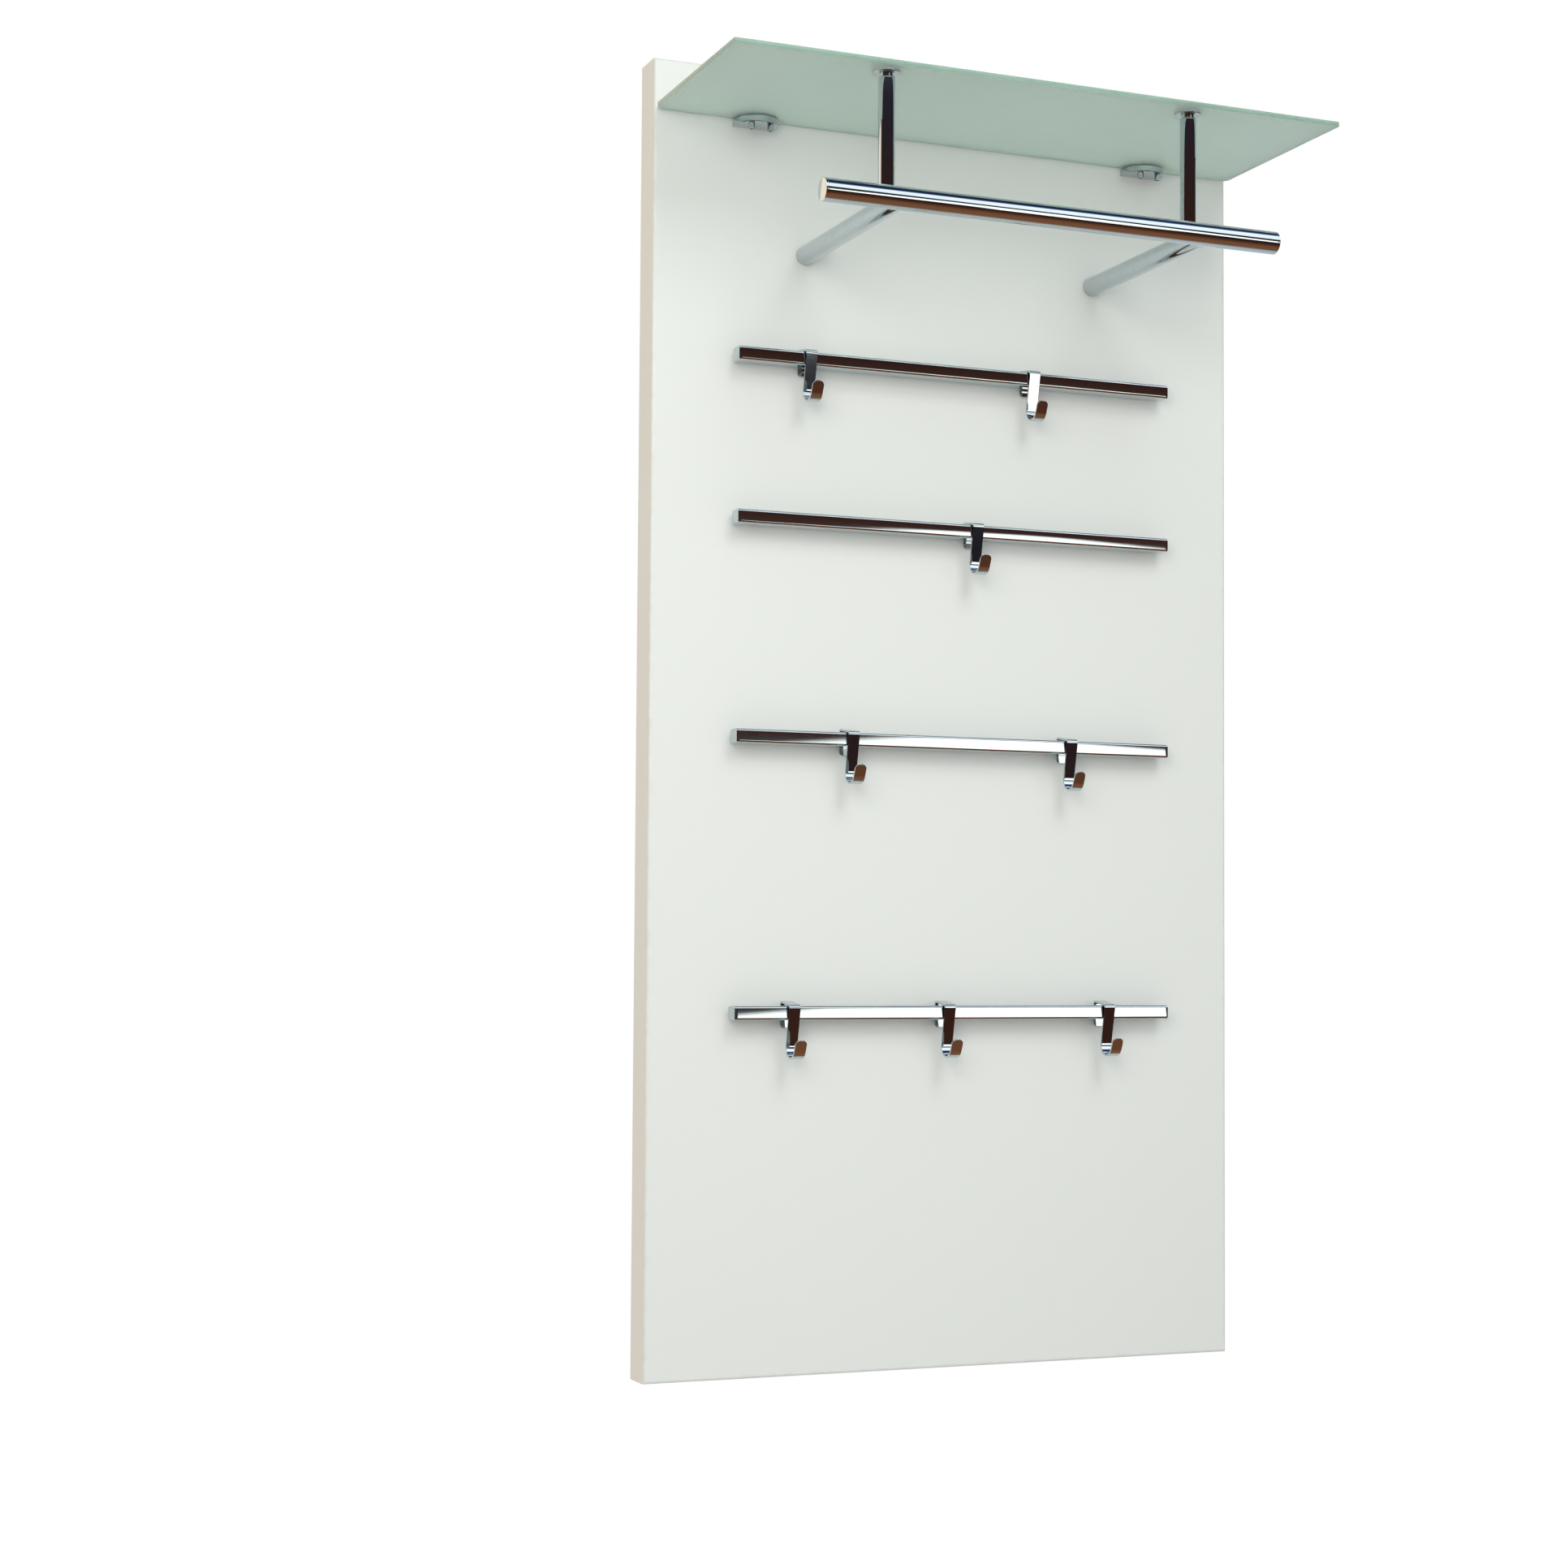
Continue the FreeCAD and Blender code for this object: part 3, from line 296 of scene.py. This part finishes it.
def etchedGlass():
    material, tree, shader, coords = startMaterial(
        "etchedGlass", Transmission_Weight=0.6, IOR=1.5, Specular_IOR_Level=0.3)
    marks = place(tree, "marks", coords, Scale=5.0, Low=0.5, High=0.62)
    middle, half = boxOf("shelf_glass")
    deeper = half + Vector((0, 0, 0.004))  # keeps the wear off the flat faces
    rim = place(tree, "corners", coords, Middle=middle, Half=deeper, Width=0.012, Amount=0.35, Scale=200.0)
    dust = place(tree, "dust", coords, Amount=0.25)
    texture = place(tree, "texture", coords, Scale=1600.0, Height=0.00003, Strength=0.4)
    colour = blendColour(tree, marks.outputs["Mask"], glassLook["face"], glassLook["cloud"])
    colour = blendColour(tree, rim.outputs["Mask"], colour, glassLook["edge"])
    colour = blendColour(tree, dust.outputs["Mask"], colour, glassLook["dust"])
    dress(tree, shader, colour, marks, texture)
    return material


def polishedGlassEdge():
    material, tree, shader, coords = startMaterial("polishedGlassEdge", Transmission_Weight=0.3, IOR=1.5)
    marks = place(tree, "marks", coords, Scale=20.0, Low=0.08, High=0.2)
    colour = blendColour(tree, marks.outputs["Mask"], glassLook["edge"], glassLook["edgeCloud"])
    dress(tree, shader, colour, marks)
    return material


def chromePlate(name, low, high, ripple):
    material, tree, shader, coords = startMaterial(name, Metallic=1.0)
    marks = place(tree, "marks", coords, Scale=5.0, Low=low, High=high)
    wear = place(tree, "wear", coords, Amount=0.4, Scale=160.0)
    texture = place(tree, "texture", coords, Scale=ripple, Height=0.00001, Strength=0.05)
    colour = blendColour(tree, marks.outputs["Mask"], chromeLook["colour"], chromeLook["smudged"])
    colour = blendColour(tree, wear.outputs["Mask"], colour, chromeLook["worn"])
    dress(tree, shader, colour, marks, texture)
    return material


def zincSteel():
    material, tree, shader, coords = startMaterial("zincSteel", Metallic=1.0)
    marks = place(tree, "marks", coords, Scale=30.0, Low=0.28, High=0.5)
    wear = place(tree, "wear", coords, Amount=0.6, Scale=200.0)
    texture = place(tree, "texture", coords, Scale=1200.0, Height=0.00003, Strength=0.5)
    colour = blendColour(tree, marks.outputs["Mask"], steelLook["bright"], steelLook["dull"])
    colour = blendColour(tree, wear.outputs["Mask"], colour, steelLook["worn"])
    dress(tree, shader, colour, marks, texture)
    return material


def clearPad():
    material, tree, shader, coords = startMaterial("clearPad", Transmission_Weight=0.3, IOR=1.45)
    marks = place(tree, "marks", coords, Scale=40.0, Low=0.3, High=0.5)
    colour = blendColour(tree, marks.outputs["Mask"], padLook["clear"], padLook["cloudy"])
    dress(tree, shader, colour, marks)
    return material


finishes = {
    "board": satinBoard(),
    "frosted_glass": etchedGlass(),
    "chrome": chromePlate("chromePlate", 0.03, 0.055, 160.0),
    "hook_chrome": chromePlate("hookChrome", 0.035, 0.07, 240.0),
    "zinc_steel": zincSteel(),
    "clear_pad": clearPad(),
}
glassEdge = polishedGlassEdge()
print("finishes made:", len(finishes) + 1)

finishOfNode = {  # by the start of the node's name
    "panel": "board", "shelf_glass": "frosted_glass", "hook": "hook_chrome",
    "clamp_pads": "clear_pad", "post_pad": "clear_pad",
    "clamp_body": "chrome", "clamp_screws": "chrome", "arm_left": "chrome", "arm_right": "chrome",
    "post": "chrome", "hanging_tube": "chrome", "bar_cap": "chrome", "rail_cap": "chrome", "rail_spacers": "chrome",
    "rail_1": "chrome", "rail_2": "chrome", "rail_3": "chrome", "rail_4": "chrome",
}
for nodeName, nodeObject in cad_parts.items():
    starts = [start for start in finishOfNode if nodeName.startswith(start)]
    look = finishes[finishOfNode[max(starts, key=len)] if starts else "zinc_steel"]
    if not nodeObject.material_slots:
        nodeObject.data.materials.append(look)
    for slotOnNode in nodeObject.material_slots:
        slotOnNode.material = look


# shaping helpers

def finishPiece(bm, name, slot, nodes, body="root", sharp=38, extra=()):
    bmesh.ops.remove_doubles(bm, verts=bm.verts, dist=1e-6)
    bmesh.ops.recalc_face_normals(bm, faces=bm.faces)
    mesh = bpy.data.meshes.new(name)
    bm.to_mesh(mesh)
    bm.free()
    for face in mesh.polygons:
        face.use_smooth = True
    mesh.set_sharp_from_angle(angle=radians(sharp))
    for material in (finishes[slot], *extra):
        mesh.materials.append(material)
    piece = bpy.data.objects.new(name, mesh)
    bpy.context.collection.objects.link(piece)
    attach(piece, body)
    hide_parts(*nodes)
    return piece


def block(bm, low, high):
    made = bmesh.ops.create_cube(bm, size=1.0)["verts"]
    low, high = Vector(low), Vector(high)
    bmesh.ops.scale(bm, vec=high - low, verts=made)
    bmesh.ops.translate(bm, vec=(low + high) / 2, verts=made)
    return made


def runsAlong(edge, axis):
    line = (edge.verts[1].co - edge.verts[0].co).normalized()
    return abs(line[axis]) > 0.999


def bevelEdges(bm, edges, size, segments=3):
    return bmesh.ops.bevel(bm, geom=list(edges), offset=size, offset_type="OFFSET", affect="EDGES",
        segments=segments, profile=0.5, material=-1, clamp_overlap=True)


def bar(bm, start, end, radius, segments=96):
    start, end = Vector(start), Vector(end)
    turn = (end - start).to_track_quat("Z", "Y").to_matrix().to_4x4()
    return bmesh.ops.create_cone(bm, cap_ends=True, cap_tris=False, segments=segments,
        radius1=radius, radius2=radius, depth=(end - start).length,
        matrix=Matrix.Translation((start + end) / 2) @ turn)["verts"]


def rimEdges(verts, axis, at):
    edges = {edge for vert in verts for edge in vert.link_edges}
    return [edge for edge in edges if all(abs(vert.co[axis] - at) < 1e-6 for vert in edge.verts)]


def levelEdges(bm):
    return [edge for edge in bm.edges if abs(edge.verts[0].co.z - edge.verts[1].co.z) < 1e-7]


# glass shelf

shelfShape = {"backRound": 0.008, "frontRound": 0.0015, "arris": 0.0006}


def makeShelf():
    low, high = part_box("shelf_glass")
    bm = bmesh.new()
    block(bm, low, high)
    upright = [edge for edge in bm.edges if runsAlong(edge, 2)]
    back = [edge for edge in upright if edge.verts[0].co.y > (low.y + high.y) / 2]
    front = [edge for edge in upright if edge not in back]
    bevelEdges(bm, back, shelfShape["backRound"], 10)
    bevelEdges(bm, [edge for edge in front if edge.is_valid], shelfShape["frontRound"], 4)
    bevelEdges(bm, levelEdges(bm), shelfShape["arris"], 2)
    for face in bm.faces:
        if abs(face.normal.z) < 0.9:
            face.material_index = 1
    finishPiece(bm, "shelfGlass", "frosted_glass", ["shelf_glass"], extra=[glassEdge])


makeShelf()


# glass clamps

clampShape = {
    "nose": 0.0222, "softEdge": 0.0007, "jawLow": 0.0068, "jawHigh": 0.005, "spine": 0.003, "spineInset": 0.001,
}


def makeClamp(side):
    low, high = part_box("clamp_body_" + side)
    bm = bmesh.new()
    for bottom, top in ((low.z, low.z + clampShape["jawLow"]), (high.z - clampShape["jawHigh"], high.z)):
        jaw = block(bm, (low.x, low.y, bottom), (high.x, high.y, top))
        upright = {edge for vert in jaw if vert.co.y < low.y + 0.001 for edge in vert.link_edges if runsAlong(edge, 2)}
        bevelEdges(bm, upright, clampShape["nose"], 28)
    bevelEdges(bm, levelEdges(bm), clampShape["softEdge"], 3)
    inset = clampShape["spineInset"]
    block(bm, (low.x + inset, high.y - clampShape["spine"], low.z + inset), (high.x - inset, high.y, high.z - inset))
    finishPiece(bm, "clampBody." + side, "chrome", ["clamp_body_" + side])


for side in ("left", "right"):
    makeClamp(side)
print("shelf and clamps made")


# arms, posts and the hanging tube

barShape = {
    "capSoft": 0.0008, "tubeSoft": 0.0003, "armEnd": -0.2634, "postSoft": 0.0015, "capDepth": 0.002,
    "held": 0.0004,  # a loop this far from a soft rim keeps the straight part straight
}
headShape = {
    "neck": 0.006, "disc": 0.0135, "neckHeight": 0.0025, "discSoft": 0.0006, "discThick": 0.002, "neckTop": 0.0019,
}


def makeBar(name, node, axis, radius, start, end, softStart=0.0, softEnd=0.0):
    bm = bmesh.new()
    bar(bm, start, end, radius)
    for point, soft in ((start, softStart), (end, softEnd)):
        if soft:
            bevelEdges(bm, rimEdges(bm.verts, axis, point[axis]), soft, 4)
            inward = 1 if end[axis] + start[axis] > 2 * point[axis] else -1
            held, normal = Vector(start), Vector((0, 0, 0))
            held[axis], normal[axis] = point[axis] + inward * (soft + barShape["held"]), 1
            bmesh.ops.bisect_plane(bm, geom=bm.verts[:] + bm.edges[:] + bm.faces[:], plane_co=held, plane_no=normal)
    finishPiece(bm, name, "chrome", [node])


def middleOf(node):
    low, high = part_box(node)
    return low, high, (low + high) / 2


low, high, mid = middleOf("hanging_tube")
makeBar("hangingTube", "hanging_tube", 0, (high.z - low.z) / 2, (low.x, mid.y, mid.z), (high.x, mid.y, mid.z),
    barShape["tubeSoft"], barShape["tubeSoft"])
for side in ("left", "right"):
    low, high, mid = middleOf("bar_cap_" + side)
    radius = (high.z - low.z) / 2
    capDepth = barShape["capDepth"]
    outer, inner = (low.x, low.x + capDepth) if side == "left" else (high.x, high.x - capDepth)
    makeBar("tubeCap." + side, "bar_cap_" + side, 0, radius, (outer, mid.y, mid.z), (inner, mid.y, mid.z),
        barShape["capSoft"], barShape["tubeSoft"])

    low, high, mid = middleOf("arm_" + side)
    makeBar("arm." + side, "arm_" + side, 1, (high.x - low.x) / 2,
        (mid.x, high.y, mid.z), (mid.x, barShape["armEnd"], mid.z))

    low, high, mid = middleOf("post_" + side)
    makeBar("post." + side, "post_" + side, 2, (high.x - low.x) / 2, (mid.x, mid.y, low.z), (mid.x, mid.y, high.z),
        0.0, barShape["postSoft"])

    low, high, mid = middleOf("post_head_" + side)
    bm = bmesh.new()
    discFoot = high.z - headShape["discThick"]
    bar(bm, (mid.x, mid.y, discFoot - headShape["neckHeight"]), (mid.x, mid.y, high.z - headShape["neckTop"]),
        headShape["neck"], 64)
    disc = bar(bm, (mid.x, mid.y, discFoot), (mid.x, mid.y, high.z), headShape["disc"])
    rims = rimEdges(disc, 2, discFoot) + rimEdges(disc, 2, high.z)
    bevelEdges(bm, rims, headShape["discSoft"], 3)
    finishPiece(bm, "postHead." + side, "chrome", ["post_head_" + side])
print("arms, posts and tube made")


# rails

railShape = {"round": 0.0025, "segments": 13, "capRim": 0.0009}


def makeRail(number):
    node = "rail_%d" % number
    low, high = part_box(node)
    bm = bmesh.new()
    block(bm, low, high)
    bevelEdges(bm, [edge for edge in bm.edges if runsAlong(edge, 0)], railShape["round"], railShape["segments"])
    finishPiece(bm, "rail.%d" % number, "chrome", [node])
    for side in ("left", "right"):
        capNode = "rail_cap_%d_%s" % (number, side)
        capLow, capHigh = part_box(capNode)
        outer = capLow.x if side == "left" else capHigh.x
        inner = low.x if side == "left" else high.x
        bm = bmesh.new()
        block(bm, (min(outer, inner), low.y, low.z), (max(outer, inner), high.y, high.z))
        bevelEdges(bm, [edge for edge in bm.edges if runsAlong(edge, 0)], railShape["round"], railShape["segments"])
        rim = [edge for edge in bm.edges if all(abs(vert.co.x - outer) < 1e-6 for vert in edge.verts)]
        bevelEdges(bm, rim, railShape["capRim"], 4)
        finishPiece(bm, "railCap.%d.%s" % (number, side), "chrome", [capNode])


for number in (1, 2, 3, 4):
    makeRail(number)
print("rails made")


# hooks: a strip folded over the rail, down its front and up into a curl

hookShape = {
    "thick": 0.002,
    "tabRound": 0.003,
    "tipRound": 0.0049,
    "softEdge": 0.00025,
    "held": 0.0004,  # short stretch beside each bend that keeps the straight part flat
    "tabFoot": (0.0018, -0.022),  # (out of the rail's back, over the rail's top)
    "runs": [0.023053, 0.018419, 0.036285, 0.0125],  # straight lengths between the bends
    "bends": [(0.0025, 98.6, 12), (0.0025, 93.4, 12), (0.011, -168.0, 30)],  # inner side radius, degrees, steps
}


def makeHook(letter):
    node = "hook_" + letter
    low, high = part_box(node)
    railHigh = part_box("rail_" + letter[0])[1]
    bm = bmesh.new()
    foot = (railHigh.y + hookShape["tabFoot"][0], railHigh.z + hookShape["tabFoot"][1])
    ends = [bm.verts.new((x, *foot)) for x in (low.x, high.x)]
    last = [bm.edges.new(ends)]
    heading = Vector((0, 0, 1))
    for index, run in enumerate(hookShape["runs"]):
        held = hookShape["held"]
        first, final = index > 0, index < len(hookShape["bends"])
        for length in [held] * first + [run - held * (first + final)] + [held] * final:
            made = bmesh.ops.extrude_edge_only(bm, edges=last)["geom"]
            lastVerts = [item for item in made if isinstance(item, bmesh.types.BMVert)]
            bmesh.ops.translate(bm, vec=heading * length, verts=lastVerts)
            madeEdges = [item for item in made if isinstance(item, bmesh.types.BMEdge)]
            last = [edge for edge in madeEdges if all(vert in lastVerts for vert in edge.verts)]
        if index < len(hookShape["bends"]):
            radius, degrees, steps = hookShape["bends"][index]
            turnSide = 1 if degrees > 0 else -1
            inward = Matrix.Rotation(turnSide * pi / 2, 3, "X") @ heading
            centre = lastVerts[0].co + inward * radius
            made = bmesh.ops.spin(bm, geom=lastVerts + last, cent=centre, axis=(1, 0, 0),
                angle=radians(degrees), steps=steps)["geom_last"]
            lastVerts = [item for item in made if isinstance(item, bmesh.types.BMVert)]
            last = [item for item in made if isinstance(item, bmesh.types.BMEdge)]
            heading = Matrix.Rotation(radians(degrees), 3, "X") @ heading
    bmesh.ops.bevel(bm, geom=lastVerts, offset=hookShape["tipRound"], offset_type="OFFSET", affect="VERTICES",
        segments=8, profile=0.5, material=-1)
    bmesh.ops.bevel(bm, geom=[vert for vert in ends if vert.is_valid], offset=hookShape["tabRound"],
        offset_type="OFFSET", affect="VERTICES", segments=6, profile=0.5, material=-1)
    piece = finishPiece(bm, "hook." + letter, "hook_chrome", [node], body="slider_" + letter)
    wall = piece.modifiers.new("thickness", "SOLIDIFY")
    wall.thickness = hookShape["thick"]
    wall.offset = 0
    wall.use_even_offset = True
    soft = piece.modifiers.new("softEdge", "BEVEL")
    soft.width = hookShape["softEdge"]
    soft.segments = 2
    soft.limit_method = "ANGLE"
    soft.angle_limit = radians(50)
    soft.harden_normals = True


for letter in ("1a", "1b", "2a", "3a", "3b", "4a", "4b", "4c"):
    makeHook(letter)
print("hooks made")


# floor, light and what the chrome mirrors

studio = {
    "floorHeight": -1.9,
    "keyPlace": (0.15, -2.4, 1.45),
    "keySize": 1.3,
    "keyPower": 26.0,
    "sidePlace": (-1.25, -1.8, -0.05),
    "sideSize": 1.3,
    "sidePower": 20.0,
    "fill": 0.575,
    "floorSize": 9.0,
    "keyAim": (0, 0, -0.5),
    "keyColour": (1.0, 0.99, 0.97),
    "sideAim": (-0.1, 0, -0.5),
    "sideColour": (1.0, 0.985, 0.95),
    "fillCool": (0.93, 0.985, 1.0, 1),
    "fillWarm": (0.74, 0.63, 0.49, 1),
    "wallCool": (0.62, 0.68, 0.72, 1),
    "wallWarm": (1.35, 1.12, 0.88, 1),
}

bm = bmesh.new()
bmesh.ops.create_grid(bm, x_segments=1, y_segments=1, size=studio["floorSize"])
bmesh.ops.translate(bm, vec=(0, 0, studio["floorHeight"]), verts=bm.verts)
floorMesh = bpy.data.meshes.new("floor")
bm.to_mesh(floorMesh)
bm.free()
floor = bpy.data.objects.new("floor", floorMesh)
bpy.context.collection.objects.link(floor)
floor.visible_glossy = False

floorLook = bpy.data.materials.new("paleFloor")
floorLook.use_nodes = True
tree = floorLook.node_tree
shader = tree.nodes["Principled BSDF"]
shader.inputs["Base Color"].default_value = (0.9, 0.9, 0.9, 1)
shader.inputs["Roughness"].default_value = 0.8
glow = addNode(tree, "ShaderNodeEmission")
mixer = addNode(tree, "ShaderNodeMixShader")
tree.links.new(addNode(tree, "ShaderNodeLightPath").outputs["Is Camera Ray"], mixer.inputs[0])
tree.links.new(shader.outputs[0], mixer.inputs[1])
tree.links.new(glow.outputs[0], mixer.inputs[2])
tree.links.new(mixer.outputs[0], tree.nodes["Material Output"].inputs["Surface"])
floorMesh.materials.append(floorLook)


def areaLight(name, where, towards, size, power, colour):
    data = bpy.data.lights.new(name, "AREA")
    data.size, data.energy, data.color = size, power, colour
    light = bpy.data.objects.new(name, data)
    bpy.context.collection.objects.link(light)
    light.location = where
    light.rotation_euler = (Vector(towards) - Vector(where)).to_track_quat("-Z", "Y").to_euler()
    light.visible_glossy = False


for kind in ("side", "key"):
    areaLight(kind + "Light", studio[kind + "Place"], studio[kind + "Aim"], studio[kind + "Size"],
        studio[kind + "Power"], studio[kind + "Colour"])

mirrored = [  # elevation in degrees, linear colour of the room
    (-90, (0.30, 0.14, 0.07)), (-48, (0.26, 0.10, 0.045)), (-34, (0.13, 0.045, 0.022)), (-22, (0.05, 0.018, 0.012)),
    (-13, (0.02, 0.016, 0.024)), (-6, (0.05, 0.05, 0.06)), (2, (0.07, 0.05, 0.05)), (8, (0.07, 0.03, 0.022)),
    (15, (0.045, 0.018, 0.013)), (18.2, (0.02, 0.02, 0.035)), (20.5, (1.3, 1.4, 1.5)), (46, (1.6, 1.6, 1.6)),
    (51, (0.16, 0.26, 0.55)), (58, (0.015, 0.02, 0.06)), (90, (0.06, 0.08, 0.12)),
]
window = {  # a bright pane: degrees of elevation and of azimuth over which its sides fade
    "low": (-9.5, -8.0), "high": (6.4, 8.0), "left": (21.4, 23.0), "right": (32.8, 34.6),
    "lean": (0.35, 0.7), "rise": 0.32, "riseFrom": 24.0, "colour": (2.0, 2.0, 1.9, 1),
}
lamp = {"up": ((-12.0, -11.3), (-8.9, -8.3)), "across": ((25.6, 26.2), (29.2, 30.0)), "colour": (2.2, 2.15, 1.9, 1)}


def buildWorld():
    world = bpy.data.worlds.new("studio")
    bpy.context.scene.world = world
    world.use_nodes = True
    tree = world.node_tree
    tree.nodes.clear()
    direction = addNode(tree, "ShaderNodeTexCoord").outputs["Generated"]
    parts = addNode(tree, "ShaderNodeSeparateXYZ")
    tree.links.new(direction, parts.inputs[0])
    x, y, z = parts.outputs
    elevation = calc(tree, "MULTIPLY", calc(tree, "ARCSINE", z), 180 / pi)
    azimuth = calc(tree, "MULTIPLY", calc(tree, "ARCTAN2", x, calc(tree, "MULTIPLY", y, -1.0)), 180 / pi)

    ramp = addNode(tree, "ShaderNodeValToRGB")
    tree.links.new(remap(tree, elevation, -90.0, 90.0), ramp.inputs[0])
    stops = ramp.color_ramp.elements
    for index, (degrees, colour) in enumerate(mirrored):
        stop = stops[index] if index < 2 else stops.new(1.0)
        stop.position = (degrees + 90) / 180
        stop.color = (*colour, 1)

    def between(value, low, high):
        return calc(tree, "MULTIPLY", remap(tree, value, low[0], low[1], smooth=True),
            calc(tree, "SUBTRACT", 1.0, remap(tree, value, high[0], high[1], smooth=True)))

    leftSide = calc(tree, "SUBTRACT", azimuth, calc(tree, "MULTIPLY", elevation, window["lean"][0]))
    rightSide = calc(tree, "ADD", azimuth, calc(tree, "MULTIPLY", elevation, window["lean"][1]))
    across = calc(tree, "MULTIPLY", remap(tree, leftSide, *window["left"], smooth=True),
        remap(tree, rightSide, *window["right"], 1.0, 0.0, smooth=True))
    pastRise = calc(tree, "SUBTRACT", azimuth, window["riseFrom"])
    slanted = calc(tree, "SUBTRACT", elevation, calc(tree, "MULTIPLY", pastRise, window["rise"]))
    pane = calc(tree, "MULTIPLY", between(slanted, window["low"], window["high"]), across)
    room = blendColour(tree, pane, ramp.outputs[0], window["colour"])
    spot = calc(tree, "MULTIPLY", between(elevation, *lamp["up"]), between(azimuth, *lamp["across"]))
    room = blendColour(tree, spot, room, lamp["colour"])
    aside = remap(tree, y, 0.0, 0.4, smooth=True)  # pale walls beside and behind
    warmth = remap(tree, x, 0.2, -0.3, smooth=True)
    walls = blendColour(tree, warmth, studio["wallCool"], studio["wallWarm"])
    room = blendColour(tree, aside, room, walls)

    leftness = remap(tree, x, 0.2, -0.9, smooth=True)
    soft = blendColour(tree, leftness, studio["fillCool"], studio["fillWarm"])

    path = addNode(tree, "ShaderNodeLightPath")
    roomLight = addNode(tree, "ShaderNodeBackground")
    tree.links.new(room, roomLight.inputs[0])
    softLight = addNode(tree, "ShaderNodeBackground")
    tree.links.new(soft, softLight.inputs[0])
    softLight.inputs[1].default_value = studio["fill"]
    backdrop = addNode(tree, "ShaderNodeBackground")
    backdrop.inputs[0].default_value = (1, 1, 1, 1)
    seen = addNode(tree, "ShaderNodeMixShader")
    both = addNode(tree, "ShaderNodeMixShader")
    tree.links.new(path.outputs["Is Glossy Ray"], both.inputs[0])
    tree.links.new(softLight.outputs[0], both.inputs[1])
    tree.links.new(roomLight.outputs[0], both.inputs[2])
    tree.links.new(path.outputs["Is Camera Ray"], seen.inputs[0])
    tree.links.new(both.outputs[0], seen.inputs[1])
    tree.links.new(backdrop.outputs[0], seen.inputs[2])
    out = addNode(tree, "ShaderNodeOutputWorld")
    tree.links.new(seen.outputs[0], out.inputs["Surface"])


buildWorld()
print("floor, light and room made")
